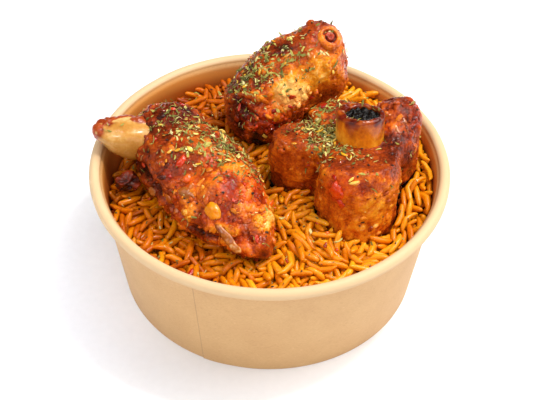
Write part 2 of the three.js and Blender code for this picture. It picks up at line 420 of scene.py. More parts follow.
# %% Wall and rim
def bowl_wall():
    """The profile goes up the outside, round the outer face of the roll's inner turn, back along
    the roll's outer face, and down the inside to the folded foot. Radius and height get a
    slow wave of up to 0.15 mm, and the overlap adds SEAM_STEP on one side of the seam only."""
    roll_x, roll_z = RIM_R - ROLL_R, BOWL_H - ROLL_R
    under = arc(roll_x, roll_z, ROLL_R - BOARD, math.pi, -ROLL_TURN, 22)
    over = arc(roll_x, roll_z, ROLL_R, math.pi - ROLL_TURN, ROLL_TURN, 26)
    hem = FOOT_R - BOARD - HEM_GAP - BOARD
    profile = np.concatenate(
        [
            arc(FOOT_R - 0.25, 0.25, 0.25, -math.pi / 2, math.pi / 2, 4),
            line((wall_r(1.0), 1.0), (roll_x - ROLL_R + BOARD, roll_z), 34),
            under,
            over,
            line((wall_r(roll_z - 0.5) - BOARD, roll_z - 0.5), (wall_r(BOARD) - BOARD, BOARD), 34),
            line((hem, BOARD), (hem, HEM_H), 3),
            line((hem - BOARD, HEM_H), (hem - BOARD, 0.0), 3),
            [(hem - BOARD, 0.0)],
        ]
    )
    even = np.linspace(0, 2 * math.pi, BOWL_SIDES, endpoint=False)
    a = np.sort(np.concatenate([even, SEAM_AT % (2 * math.pi) + np.linspace(-0.008, 0.008, 13)]))
    r = np.repeat(profile[:, :1], len(a), 1)
    z = np.repeat(profile[:, 1:], len(a), 1)
    wave = 0.12 * np.sin(3 * a + 1) + 0.08 * np.sin(7 * a) + 0.05 * np.sin(17 * a + 2)
    high = smoothstep(z, 5, BOWL_H)
    past = (a - SEAM_AT + math.pi) % (2 * math.pi) - math.pi
    step = SEAM_STEP * smoothstep(past, -0.0015, 0.0015) * (1 - smoothstep(past, 0.02, 0.22))
    outer = np.arange(len(profile))[:, None] < OUTER_ROWS
    r = r + wave * high * 0.6 + step * outer * (1 - 0.5 * smoothstep(z, BOWL_H - 4, BOWL_H))
    z = z + 0.5 * wave * high
    points = np.stack([r * np.cos(a), r * np.sin(a), z], -1).reshape(-1, 3)
    inner = (np.arange(len(profile)) > OUTER_ROWS + ROLL_ROWS)[:, None]
    # painted highlight: the rolled rim is painted paler where it catches the light, besides its stretched
    # fibres
    rim_fibres_and_highlight = np.clip(smoothstep(z, BOWL_H - 4.5, BOWL_H - 1.5) * ~inner, 0, 1).ravel()
    # painted shadow: a dark line down the outside along the step of the seam
    seam = (np.exp(-((past / 0.0028) ** 2)) * outer * (z < BOWL_H - 4.5)).ravel()
    # oil stands higher in the board than sauce, both with a wavy edge, and less on the right.
    # The oil's orange is also painted orange light bounced from the rice, and the sauce's dark
    # brown is also painted shade, kept weaker on the right, where the inner wall is lit.
    wavy = 1.2 * np.sin(3 * a) - z
    oil_and_bounce_light = 1.1 * (inner * smoothstep(wavy, 1 - BOWL_H, 5 - BOWL_H)).ravel()
    sauce_and_shade = (inner * smoothstep(wavy, 4 - BOWL_H, 11 - BOWL_H)).ravel()
    sauce_and_shade = sauce_and_shade * (1.05 + 0.2 * fractal(points, 12, 2, 4))
    # painted shade: less of it on the right, where the inner wall is lit
    sauce_and_shade = sauce_and_shade * (1 - 0.4 * smoothstep(points[:, 0], 0, 60))
    numbers = {"rim_fibres_and_highlight": rim_fibres_and_highlight, "seam": seam, "oil_and_bounce_light": oil_and_bounce_light, "sauce_and_shade": sauce_and_shade}
    return mesh_object("kraft_wall", points, turned_faces(len(profile), len(a)), (), numbers)


def bowl_base():
    """A flat disc with a skirt: the profile starts and ends on the axis."""
    skirt = FOOT_R - BOARD - 0.3
    low, top = base_low[2], base_high[2]
    inside = top - BOARD
    profile = np.concatenate(
        [
            line((skirt * 0.04, inside), (skirt - BOARD - 0.4, inside), 12),
            arc(skirt - BOARD - 0.4, inside - 0.4, 0.4, math.pi / 2, -math.pi / 2, 4),
            line((skirt - BOARD, inside - 0.8), (skirt - BOARD, low), 3),
            line((skirt - BOARD, low), (skirt, low), 1),
            line((skirt, low), (skirt, top - 0.5), 3),
            arc(skirt - 0.5, top - 0.5, 0.5, 0, math.pi / 2, 5),
            line((skirt - 0.8, top), (skirt * 0.04, top), 12),
        ]
    )
    a = np.linspace(0, 2 * math.pi, BOWL_SIDES // 2, endpoint=False)
    rows = turned_rows(profile, a).reshape(-1, 3)
    points = np.concatenate([[[0, 0, inside]], rows, [[0, 0, top]]])
    quads, triangles = closed_faces(len(profile), len(a))
    return mesh_object("kraft_base", points, quads, triangles)


# %% [markdown]
# Kraft board is unbleached paper: long brown wood fibres pressed flat, with paler and darker
# ones showing as short specks, and slow clouds where the pulp lay thicker. A thin clear coat
# against oil and fat gives it a faint sheen. Folded or rolled edges look paler because the top
# fibres stretch there, and the rolled rim also gets a painted highlight where it catches the
# light. Inside, the oil and sauce stains also carry painted bounce light and painted shade.

# %% Kraft board finish
def kraft_board():
    """Unbleached board, calendered and coated: matt, fibrous and slightly cloudy."""
    material, tree, shader = new_material(
        "kraft_board",
        Roughness=0.62,
        Specular_IOR_Level=0.35,
        Coat_Weight=0.12,
        Coat_Roughness=0.35,
    )
    # clouds of pulp are about 12 mm across, and fibres 1 mm long and 0.3 mm wide
    clouds = texture(tree, 80.0, 4.0)
    fibres = texture(tree, 1.0, 3.0, (900.0, 900.0, 3500.0))
    base = colour_ramp(tree, clouds, [(0.3, "#c79a66"), (0.7, "#d2a872")])
    specks = colour_ramp(
        tree, fibres, [(0.3, "#b58856"), (0.42, "#cca26c"), (0.62, "#d2a974"), (0.75, "#e6c496")]
    )
    colour = blend_colours(tree, 0.45, base, specks)
    # the stretched fibres of the rolled rim with a painted highlight, a painted shadow along the
    # step of the seam, and oil and sauce soaked up inside, with painted bounce light and shade
    stains = (("rim_fibres_and_highlight", "#dabd93"), ("seam", "#8a6238"), ("oil_and_bounce_light", "#d9903c"), ("sauce_and_shade", "#a44c00"))
    for name, stain in stains:
        number = point_number(tree, name)
        amount = add_node(tree, "ShaderNodeMath", {"operation": "MULTIPLY"}, _0=number, _1=0.85)
        colour = blend_colours(tree, amount.outputs[0], colour, srgb(stain))
    tree.links.new(colour, shader.inputs["Base Color"])
    tree.links.new(bumps(tree, fibres, 0.12, 0.0002), shader.inputs["Normal"])
    return material


kraft = kraft_board()
finish_piece(bowl_wall(), kraft, "kraft_board", "bowl_wall")
finish_piece(bowl_base(), kraft, "kraft_board", "bowl_base")

# %% [markdown]
# ## How a piece of meat is shaped
#
# A braised piece is a few muscles that run into each other. Each muscle is a rounded lobe, and a
# smooth union joins them. To turn that into a mesh, rays leave a short spine inside the piece
# and march inwards from far away until they meet the union: that gives a closed grid of points.
# The grid is then pushed in and out by noise of several sizes, for muscle folds, the coarse
# crust and the clotted sauce. The lobes' middles are shares of the CAD piece's own box.

# %% Lobes and rays
RAY_START = 60.0  # millimetres from the spine
RAY_STEPS = 45


def lobe(middle, radii, heading=0, pitch=0, square=2):
    """A rounded block: middle, radii along, across and up in millimetres, its turn about Z and
    its tilt in degrees, and how square its ends are, from 2 for an ellipsoid upwards."""
    h, p = math.radians(heading), math.radians(pitch)
    along = [math.cos(h) * math.cos(p), math.sin(h) * math.cos(p), math.sin(p)]
    across = [-math.sin(h), math.cos(h), 0]
    turn = np.stack([along, across, np.cross(along, across)], -1)
    return np.asarray(middle, float), np.asarray(radii, float), turn, square


def outside(shape, points):
    """How far points are outside a lobe: the length of the point over the radii, less 1, times
    the smallest radius. It never says more than the true distance."""
    middle, radii, turn, square = shape
    local = (points - middle) @ turn / radii
    flat = np.hypot(local[..., 0], local[..., 1])
    return ((flat**square + np.abs(local[..., 2]) ** square) ** (1 / square) - 1) * radii.min()


def joined(shapes, blend):
    """A smooth union: minus the log of the summed exponentials of minus each distance."""
    return lambda p: -np.log(sum(np.exp(-blend * outside(s, p)) for s in shapes)) / blend


def square_to(up):
    """Two directions square to up and to each other."""
    side = np.cross([0, 1, 0], up)
    side /= np.linalg.norm(side)
    return side, np.cross(up, side)


def ray_grid(spine, fan, depth, sides, rings):
    """Points of a closed grid on the surface depth = 0. The rays fan out round each end of the
    spine and leave it squarely in between. Each ray starts RAY_START out and steps inwards by
    its distance from the surface."""
    start, end = (np.asarray(p, float) for p in spine)
    length = np.linalg.norm(end - start)
    along = (end - start) / length
    side, across = square_to(along)
    quarter = fan * math.pi / 2
    way = np.linspace(0, length + 2 * quarter, rings + 2)
    polar = (np.minimum(way, quarter) + np.maximum(0, way - quarter - length)) / fan
    root = start + along * np.clip(way - quarter, 0, length)[:, None]
    turn = np.linspace(0, 2 * math.pi, sides, endpoint=False)
    ring = np.cos(turn)[:, None] * side + np.sin(turn)[:, None] * across
    ray = np.sin(polar)[:, None, None] * ring - np.cos(polar)[:, None, None] * along
    ray = np.concatenate([ray[:1, 0], ray[1:-1].reshape(-1, 3), ray[-1:, 0]])
    root = np.concatenate([root[:1], np.repeat(root[1:-1], sides, 0), root[-1:]])
    far = np.full(len(ray), RAY_START)
    for _ in range(RAY_STEPS):
        far = np.maximum(0, far - 0.95 * depth(root + far[:, None] * ray))
    return root + far[:, None] * ray


def grid_normals(points, rings, sides):
    """Outward unit normals of a closed grid: the cross product of the steps along a ring and
    from ring to ring, and the spine's own direction at the two poles."""
    grid = points[1:-1].reshape(rings, sides, 3)
    first = np.broadcast_to(points[0], (1, sides, 3))
    last = np.broadcast_to(points[-1], (1, sides, 3))
    tall = np.concatenate([first, grid, last])
    onwards = tall[2:] - tall[:-2]
    sideways = np.roll(grid, -1, 1) - np.roll(grid, 1, 1)
    normals = np.cross(sideways, onwards)
    normals /= np.linalg.norm(normals, axis=-1, keepdims=True) + 1e-12
    poles = [points[0] - grid[0].mean(0), points[-1] - grid[-1].mean(0)]
    poles = [p / (np.linalg.norm(p) + 1e-12) for p in poles]
    return np.concatenate([[poles[0]], normals.reshape(-1, 3), [poles[1]]])


def sculpt(points, rings, sides, relief):
    """Moves each point along its normal by relief(points, normals) millimetres, and gives the
    heights it moved them by as well. The mean height is taken off, so that the size stays."""
    normals = grid_normals(points, rings, sides)
    height = relief(points, normals)
    height = height - height.mean()
    return points + normals * height[:, None], height


def blob(points, middle, reach):
    """1 at middle, falling off as a bell curve with the given reach."""
    return np.exp(-(((points - middle) / reach) ** 2).sum(-1))


def paint(points, stains):
    """Adds up stains, each (place, reach, amount)."""
    return sum(amount * blob(points, place, reach) for place, reach, amount in stains)


skins = {}  # the finished meat surfaces, by name, for what is scattered on them
solids = {}  # the depth function of each piece of meat, by name, for what lies against it


def keep_skin(name, points, faces, **numbers):
    """Remembers a surface as triangles, with the numbers per point."""
    quads, triangles = faces
    whole = np.concatenate([quads[:, [0, 1, 2]], quads[:, [0, 2, 3]], triangles])
    skins[name] = (points, whole, numbers)


# %% [markdown]
# ## The left piece
#
# It is a forearm joint, thick at the far left and tapering towards the diner. The thick end has
# browned to a dark crust, the ridge is brown, and the thin end is orange and wet with sauce that
# has clotted into soft bumps. A loose flap of muscle along the near side leaves a long furrow.

# %% Left piece
LEFT_HEADING = -58.0
LEFT_RINGS, LEFT_SIDES = 230, 280


def left_meat():
    """Four lobes along one line, a furrow along the near side, and noise of several sizes."""
    shoulder, belly, narrow, point, start, end = share(
        "left_meat",
        (0.275, 0.803, 0.501),
        (0.452, 0.568, 0.501),
        (0.662, 0.358, 0.47),
        (0.823, 0.143, 0.409),
        (0.299, 0.752, 0.47),
        (0.767, 0.193, 0.409),
    )
    depth = joined(
        [
            lobe(shoulder, (15, 18, 15), LEFT_HEADING),
            lobe(belly, (19, 21, 16), LEFT_HEADING),
            lobe(narrow, (18, 18.5, 13.5), LEFT_HEADING),
            lobe(point, (12.5, 8.3, 7.6), LEFT_HEADING, -8),
        ],
        0.3,
    )
    solids["left"] = depth
    points = ray_grid((start, end), 14, depth, LEFT_SIDES, LEFT_RINGS)
    low, high = box("left_meat")
    heading = math.radians(LEFT_HEADING)
    along = np.array([math.cos(heading), math.sin(heading), 0])
    mid = (low + high) / 2
    brown, dome, orange, tip, burnt, dark_side, tip_top = share(
        "left_meat",
        (0.44, 0.5, 0.98),
        (0.45, 0.32, 0.82),
        (0.6, 0.2, 0.74),
        (0.78, 0.14, 0.73),
        (0.25, 0.8, 0.95),
        (0.15, 0.58, 0.75),
        (0.84, 0.3, 0.8),
    )

    def thin(p):
        """0 at the thick end and 1 at the thin one."""
        return smoothstep((p - mid) @ along, -30, 34)

    def folds(p, n):
        side = (p - mid) @ np.array([along[1], -along[0], 0])
        height = (p[:, 2] - low[2]) / (high[2] - low[2])
        furrow = np.exp(-(((height - 0.5 + 0.12 * np.sin((p @ along) / 9)) / 0.06) ** 2)) * (side > 0)
        return 1.5 * fractal(p, 15, 2, 3) + 0.9 * fractal(p, 7, 2, 4) - 2.4 * furrow

    def crust(p, n):
        t = thin(p)
        shaken = p + 1.5 * fractal(p, 4, 2, 9)[:, None]
        clots = pebbles(shaken, 4.6, 21) * smoothstep(fractal(p, 9, 2, 33), -0.45, 0.25)
        seeds = pebbles(shaken, 2.3, 44) * smoothstep(fractal(p, 7, 2, 51), -0.3, 0.4)
        calm = 1 - 0.7 * np.clip(blob(p, brown, 10) + blob(p, dome, 7) + blob(p, orange, 6), 0, 1)
        return calm * ((0.5 + 0.8 * t) * clots + (0.3 + 0.3 * t) * seeds + 0.6 * fractal(p, 4.5, 4, 5, 0.4))

    points, fold = sculpt(points, LEFT_RINGS, LEFT_SIDES, folds)
    points, bump = sculpt(points, LEFT_RINGS, LEFT_SIDES, crust)
    t = thin(points)
    height = (points[:, 2] - low[2]) / (high[2] - low[2])
    tone = 0.42 + 0.16 * t + 0.12 * fractal(points, 8, 3, 61) + 0.08 * fractal(points, 2.5, 2, 62)
    # painted shade and light: the hollows of the crust and folds are darker, the crests lighter
    tone += 0.27 * bump + 0.07 * fold
    tone += paint(
        points,
        [
            (brown, 9, 0.04),
            (dome, 8, 0.22),
            (orange, 8, 0.08),
            (tip, 11, -0.06),
            (burnt, 13, -0.12),
            (dark_side, 10, -0.02),
        ],
    )
    # painted shade: the piece is darker towards its bottom, where its lower flank is shaded
    tone -= 0.2 * (1 - smoothstep(height, 0.2, 0.55))
    red = 0.24 + 0.25 * t + 0.5 * fractal(points, 6, 3, 71)
    red += paint(points, [(tip_top, 9, 0.4), (brown, 9, -0.4)])
    faces = closed_faces(LEFT_RINGS, LEFT_SIDES)
    keep_skin("left", points, faces, tone=tone, red=red)
    numbers = {"tone": tone, "red": red, "wet": 0.4 + 0.5 * t}
    return mesh_object("left_braised_meat", points, *faces, numbers)


# %% [markdown]
# ## The back piece
#
# It is the end of a leg, standing against the far wall with its knuckle up. A band of skin and
# fat on its near side has stayed bright orange and yellow, its left flank is crusted and covered
# with herbs, and its foot is nearly black, partly where the sauce caught and partly painted
# shade under the piece.

# %% Back piece
BACK_RINGS, BACK_SIDES = 220, 260
KNUCKLE_UP = np.array([0.25, -0.5, 0.83]) / np.linalg.norm([0.25, -0.5, 0.83])
KNUCKLE_R = 5.2
KNUCKLE_LENGTH = 13.0
KNUCKLE_PROUD = 2.4  # how far the curled skin stands above the end of the rod


def back_meat():
    """Four lobes that climb to the knuckle. Long shallow wrinkles run up the skin, and clots of
    sauce gather low on the near side."""
    bottom, belly, shoulder, rear, start, end = share(
        "back_meat",
        (0.318, 0.439, 0.324),
        (0.468, 0.571, 0.552),
        (0.722, 0.678, 0.779),
        (0.797, 0.678, 0.514),
        (0.356, 0.439, 0.362),
        (0.694, 0.678, 0.741),
    )
    depth = joined(
        [
            lobe(bottom, (17, 16, 17), 30),
            lobe(belly, (18, 15, 15), 30, 40),
            lobe(shoulder, (12, 9.5, 10), 30, 45),
            lobe(rear, (10.5, 9, 15)),
        ],
        0.3,
    )
    solids["back"] = depth
    points = ray_grid((start, end), 12, depth, BACK_SIDES, BACK_RINGS)
    low, high = box("back_knuckle")
    knuckle_top = (low + high) / 2 + KNUCKLE_UP * KNUCKLE_LENGTH / 2
    fat, fat_low, fat_left, foot, flank, crown, crest, red_a, red_b, red_c = share(
        "back_meat",
        (0.76, 0.36, 0.74),
        (0.6, 0.21, 0.6),
        (0.46, 0.15, 0.62),
        (0.22, 0.05, 0.22),
        (0.15, 0.3, 0.62),
        (0.5, 0.5, 0.95),
        (0.8, 0.42, 0.92),
        (0.38, 0.04, 0.45),
        (0.66, 0.24, 0.48),
        (0.2, 0.1, 0.42),
    )

    def skin(p):
        """1 on the bright band of skin and fat, 0 elsewhere."""
        return np.clip(blob(p, fat, 14) + 0.9 * blob(p, fat_low, 9) + 0.8 * blob(p, fat_left, 8), 0, 1)

    def folds(p, n):
        wrinkle = fractal(p * [1, 1, 0.4], 6.5, 3, 18)
        return 1.1 * fractal(p, 13, 2, 13) + 1.5 * skin(p) * wrinkle - 2.6 * blob(p, knuckle_top, 6.5)

    def crust(p, n):
        rough = 1 - 0.9 * skin(p)
        shaken = p + 1.4 * fractal(p, 4, 2, 19)[:, None]
        clots = pebbles(shaken, 3.8, 29) * smoothstep(fractal(p, 8, 2, 35), -0.4, 0.2)
        low_band = np.clip(blob(p, red_a, 14) + blob(p, red_b, 8) + blob(p, red_c, 10), 0, 1)
        return (
            rough * (0.8 * fractal(p, 4.5, 4, 15, 0.4) + 0.35 * pebbles(shaken, 2.0, 45))
            + (0.3 + 1.0 * low_band) * clots
            + 0.15 * fractal(p, 1.3, 2, 17)
        )

    points, _ = sculpt(points, BACK_RINGS, BACK_SIDES, folds)
    points, bump = sculpt(points, BACK_RINGS, BACK_SIDES, crust)
    tone = 0.42 + 0.12 * fractal(points, 7, 3, 63) + 0.08 * fractal(points, 2.2, 2, 64)
    # painted shade and light: the hollows of the crust are darker, the crests lighter
    tone += 0.24 * bump
    tone += 0.5 * skin(points) + paint(
        points,
        [
            # painted shade under the foot, together with its crust
            (foot, 15, -0.32),
            (flank, 13, -0.16),
            (crown, 9, -0.2),
            (crest, 6.5, -0.2),
            (fat_low, 5, 0.26),
            (fat_left, 5.5, 0.26),
        ],
    )
    red = 0.2 + 0.45 * fractal(points, 6, 3, 73)
    red += paint(points, [(red_a, 9, 0.7), (red_b, 6, 0.8), (red_c, 8, 0.4), (fat, 12, -0.35)])
    faces = closed_faces(BACK_RINGS, BACK_SIDES)
    keep_skin("back", points, faces, tone=tone, red=red)
    wet = 0.5 + 0.3 * skin(points) + 0.3 * blob(points, red_a, 12)
    return mesh_object("back_braised_meat", points, *faces, {"tone": tone, "red": red, "wet": wet})


# %% [markdown]
# ## The right piece
#
# It is a slice sawn across the leg: a thick ring of muscle round the marrow bone. Its top is the
# flat cut face, with the bone standing out of it. The muscles have parted while cooking, so the
# slice is four lobes with dark creases between them. The flanks show fine upright fibres.

# %% Right piece
BONE_LEAN = math.atan2(0.26, 0.97)
bone_low, bone_high = box("right_bone")
BONE_R = 10.0
BONE_PROUD = 11.5
BONE_LENGTH = 30.0
bone_up = np.array([0, math.sin(BONE_LEAN), math.cos(BONE_LEAN)])
bone_middle = (bone_low + bone_high) / 2
bone_top = bone_middle + bone_up * BONE_LENGTH / 2
cut_at = bone_top - bone_up * BONE_PROUD


def right_meat():
    """Four closed shells in one mesh. The front and left ones are cut off by the sawn plane: the
    larger of the union's depth and the height above the plane."""
    near, far, front_start, front_end = share(
        "right_meat",
        (0.568, 0.275, 0.527),
        (0.6, 0.551, 0.527),
        (0.584, 0.299, 0.361),
        (0.584, 0.394, 0.568),
    )
    left, left_start, left_end = share(
        "right_meat", (0.298, 0.622, 0.527), (0.282, 0.615, 0.403), (0.314, 0.63, 0.589)
    )
    back, back_start, back_end = share(
        "right_meat", (0.457, 0.835, 0.589), (0.409, 0.835, 0.568), (0.504, 0.851, 0.609)
    )
    flank_low, flank_top, flank_start, flank_end = share(
        "right_meat",
        (0.822, 0.646, 0.609),
        (0.846, 0.772, 0.713),
        (0.79, 0.678, 0.485),
        (0.822, 0.741, 0.692),
    )

    def cut(union):
        """Cuts a union by the sawn face, which is a little uneven."""
        return lambda p: np.maximum(union(p), (p - cut_at) @ bone_up + 0.5 * noise(p, 6, 81))

    front_lobes = [lobe(near, (16.5, 17.5, 25), square=3.5), lobe(far, (18, 17, 22), square=4)]
    left_lobes = [lobe(left, (19, 12.5, 18), 8, square=3.5)]
    back_lobes = [lobe(back, (14, 10.5, 14), square=2.6)]
    high_lobes = [lobe(flank_low, (10, 15, 15), square=2.6), lobe(flank_top, (9, 9, 13), square=3)]
    shells = [
        ((front_start, front_end), 16, cut(joined(front_lobes, 0.5)), 220, 150),
        ((left_start, left_end), 13, cut(joined(left_lobes, 1)), 170, 110),
        ((back_start, back_end), 10, joined(back_lobes, 1), 130, 80),
        ((flank_start, flank_end), 11, joined(high_lobes, 0.5), 170, 110),
    ]

    def folds(p, n):
        return 0.9 * fractal(p, 12, 2, 23) * (1 - 0.7 * smoothstep(n @ bone_up, 0.7, 0.95))

    def crust(p, n):
        flat = smoothstep(n @ bone_up, 0.75, 0.95)
        fibres = fractal(p * [1, 1, 0.16], 1.5, 2, 25)
        dark = blob(p, flank_top, 15) + blob(p, back, 14)
        shaken = p + 1.2 * fractal(p, 4, 2, 27)[:, None]
        smooth = blob(p, plain, 7) + blob(p, left_face, 8) + blob(p, red_patch, 5)
        clots = pebbles(shaken, 3.4, 28) * smoothstep(fractal(p, 7, 2, 36), -0.3, 0.3)
        seeds = pebbles(shaken, 1.9, 46) * (1 - 0.5 * flat)
        rough = 0.55 * fractal(p, 4.5, 4, 26, 0.4) + (0.45 + 0.8 * dark) * clots + 0.25 * seeds
        rough = 1.5 * rough * (1 - 0.75 * np.clip(smooth, 0, 1)) * (1 - 0.35 * flat)
        return 0.25 * fibres * (1 - flat) + rough

    red_patch, ochre, left_face, plain, tendon, high_dark, low_front, front_top, flank = share(
        "right_meat",
        (0.43, 0.07, 0.84),
        (0.66, 0.03, 0.6),
        (0.12, 0.43, 0.62),
        (0.36, 0.12, 0.6),
        (0.8, 0.6, 0.93),
        (0.88, 0.75, 0.97),
        (0.5, 0.02, 0.35),
        (0.52, 0.06, 0.8),
        (0.85, 0.44, 0.76),
    )
    all_points, all_quads, all_triangles, bumps, count = [], [], [], [], 0
    for spine, fan, depth, sides, rings in shells:
        solids[f"right_{count}"] = depth
        points = ray_grid(spine, fan, depth, sides, rings)
        points, _ = sculpt(points, rings, sides, folds)
        points, bump = sculpt(points, rings, sides, crust)
        quads, triangles = closed_faces(rings, sides)
        bumps.append(bump)
        all_points.append(points)
        all_quads.append(quads + count)
        all_triangles.append(triangles + count)
        count += len(points)
    points = np.concatenate(all_points)
    faces = np.concatenate(all_quads), np.concatenate(all_triangles)
    flat = np.clip(1 - np.abs((points - cut_at) @ bone_up) / 2.5, 0, 1)
    tone = 0.5 + 0.10 * fractal(points, 7, 3, 65) + 0.07 * fractal(points * [1, 1, 0.2], 2.0, 2, 66)
    # painted shade and light: the hollows of the crust are darker, the crests lighter
    tone += 0.2 * np.concatenate(bumps)
    tone += paint(
        points,
        [
            (ochre, 12, 0.26),
            (front_top, 8, 0.16),
            (left_face, 9, 0.1),
            (plain, 9, 0.1),
            (tendon, 4, 0.24),
            (high_dark, 13, -0.2),
            (back, 14, -0.2),
            (low_front, 9, 0.06),
            (flank, 9, -0.26),
        ],
    )
    tone -= 0.08 * flat
    red = 0.1 + 0.38 * fractal(points, 6, 3, 75)
    red += paint(points, [(red_patch, 7, 1.1), (high_dark, 13, 0.3)])
    keep_skin("right", points, faces, tone=tone, red=red)
    numbers = {"tone": tone, "red": red, "wet": np.full(len(points), 0.45)}
    return mesh_object("right_braised_meat", points, *faces, numbers)


# %% [markdown]
# Braised meat is brown where its surface dried in the heat and orange where tomato and palm oil
# soaked in, and fat and skin stay yellow. The wet sauce over it gives small, bright, sharp
# highlights. Light goes a little way in, so a thin subsurface glow keeps the shadows warm.

# %% Braised meat finish
def braised_meat():
    """A ramp from burnt brown to yellow fat along tone, tinted by red, under a wet coat."""
    material, tree, shader = new_material(
        "braised_meat",
        Roughness=0.5,
        Specular_IOR_Level=0.12,
        Subsurface_Weight=0.04,
        Subsurface_Scale=0.001,
        Subsurface_Radius=(1.0, 0.35, 0.12),
        Coat_Roughness=0.05,
        Coat_IOR=1.4,
    )
    # tone also carries each piece's painted shade in hollows and painted light on crests
    # speckle of pepper and pulp about 1 mm across
    level = swayed(tree, point_number(tree, "tone"), texture(tree, 1100.0, 3.0), 0.5)
    base = colour_ramp(
        tree,
        level,
        [
            (0.0, "#220702"),
            (0.2, "#561803"),
            (0.38, "#8a2f04"),
            (0.54, "#b54c0a"),
            (0.7, "#da7210"),
            (0.88, "#f09a1c"),
            (1.0, "#f8be62"),
        ],
    )
    sauce = colour_ramp(
        tree, level, [(0.1, "#480802"), (0.4, "#a02402"), (0.7, "#d04606"), (1.0, "#ea7016")]
    )
    amount = spread_over(tree, point_number(tree, "red"), 0.3, 0.9, 0.75)
    tree.links.new(blend_colours(tree, amount, base, sauce), shader.inputs["Base Color"])
    coat = spread_over(tree, point_number(tree, "wet"), 0.0, 1.0, 1.0)
    tree.links.new(coat, shader.inputs["Coat Weight"])
    fine = texture(tree, 800.0, 3.0)
    tree.links.new(bumps(tree, fine, 0.4, 0.001), shader.inputs["Normal"])
    # the film of sauce fills the finest grooves, and lies in soft waves about 2 mm long
    film = texture(tree, 520.0, 1.0)
    tree.links.new(bumps(tree, film, 0.7, 0.0012), shader.inputs["Coat Normal"])
    return material


meat_finish = braised_meat()
finish_piece(left_meat(), meat_finish, "meat", "left_meat")
finish_piece(back_meat(), meat_finish, "meat", "back_meat")
finish_piece(right_meat(), meat_finish, "meat", "right_meat")

# %% [markdown]
# ## Bones, knuckle, marrow and the scrap
#
# The left bone is a shank that ends in a smooth, flared joint: cream, polished by the broth, with
# sauce along its upper edge. The right bone is a sawn tube with a rough rim, and the marrow in it
# has cooked to black grains. The knuckle is a roll of skin curled round the end of a bone. A
# tube, a plug and a roll are profiles turned round an axis, and their unevenness is noise.

# %% Left bone
def left_bone():
    """Three smooth lobes, with clotted sauce along the upper edge, a round clot and a red tip."""
    middle, joint, edge_low, start, end, clot, tip = share(
        "left_bone",
        (0.653, 0.531, 0.405),
        (0.334, 0.501, 0.518),
        (0.129, 0.442, 0.688),
        (0.835, 0.59, 0.292),
        (0.197, 0.472, 0.631),
        (0.42, 0.72, 0.93),
        (0.04, 0.45, 0.8),
    )
    shaft = lobe(middle, (16, 5.5, 5.5))
    flare = lobe(joint, (10, 8, 8), pitch=-14, square=2.5)
    lip = lobe(edge_low, (6, 5, 3), pitch=-30)
    solids["left_bone"] = joined([shaft, flare, lip], 0.5)
    rings, sides = 110, 90
    points = ray_grid((start, end), 6, solids["left_bone"], sides, rings)
    low, high = box("left_bone")

    def sauce(p):
        """How much sauce lies at p: on the upper back edge, on the clot and at the tip."""
        back = (p[:, 1] - low[1]) / (high[1] - low[1]) + 0.12 * fractal(p, 2.6, 3, 105)
        edge = smoothstep(back + 0.9 * (p[:, 2] - low[2]) / (high[2] - low[2]), 1.46, 1.58)
        left = 1 - smoothstep((p[:, 0] - low[0]) / (high[0] - low[0]), 0.55, 0.75)
        return np.clip(edge * left + (1.5 + fractal(p, 2, 3, 106)) * blob(p, tip, 4.8), 0, 1.2)

    def relief(p, n):
        lumpy = sauce(p) * (0.5 + 0.5 * pebbles(p, 2.2, 102))
        return 0.35 * fractal(p, 7, 2, 101) + lumpy + 1.1 * blob(p, clot, 2.2)

    points, _ = sculpt(points, rings, sides, relief)
    spots = smoothstep(fractal(points, 5, 2, 103), 0.2, 0.7)
    red = np.clip(sauce(points) + 1.2 * blob(points, clot, 2.4) + 0.25 * spots, 0, 1)
    # painted shade: the bone's lower side is painted darker
    shaded_underside = smoothstep(-(points[:, 2] - points[:, 2].mean()), 0, 6)
    tone = 0.72 + 0.2 * fractal(points, 6, 3, 104) - 0.35 * shaded_underside
    faces = closed_faces(rings, sides)
    keep_skin("left_bone", points, faces)
    return mesh_object("left_shank_bone", points, *faces, {"tone": tone, "red": red})


def turned_piece(name, profile, sides, up, at, relief, numbers):
    """Turns a closed profile of (radius, height) round the axis up through at. The first and
    last points of the profile lie on the axis. relief is added along the normals, and numbers
    gives what the mesh keeps at each point."""
    a = np.linspace(0, 2 * math.pi, sides, endpoint=False)
    rings = len(profile) - 2
    ends = [[0, 0, profile[0, 1]], [0, 0, profile[-1, 1]]]
    points = np.concatenate([ends[:1], turned_rows(profile[1:-1], a).reshape(-1, 3), ends[1:]])
    points, height = sculpt(points, rings, sides, relief)
    out = points @ np.stack([*square_to(up), up]) + at
    return mesh_object(name, out, *closed_faces(rings, sides), numbers(points, height))


# %% Right bone, marrow and knuckle
HOLE_R = 7.1
HOLE_SHIFT = 0.7
MARROW_SUNK = 1.6


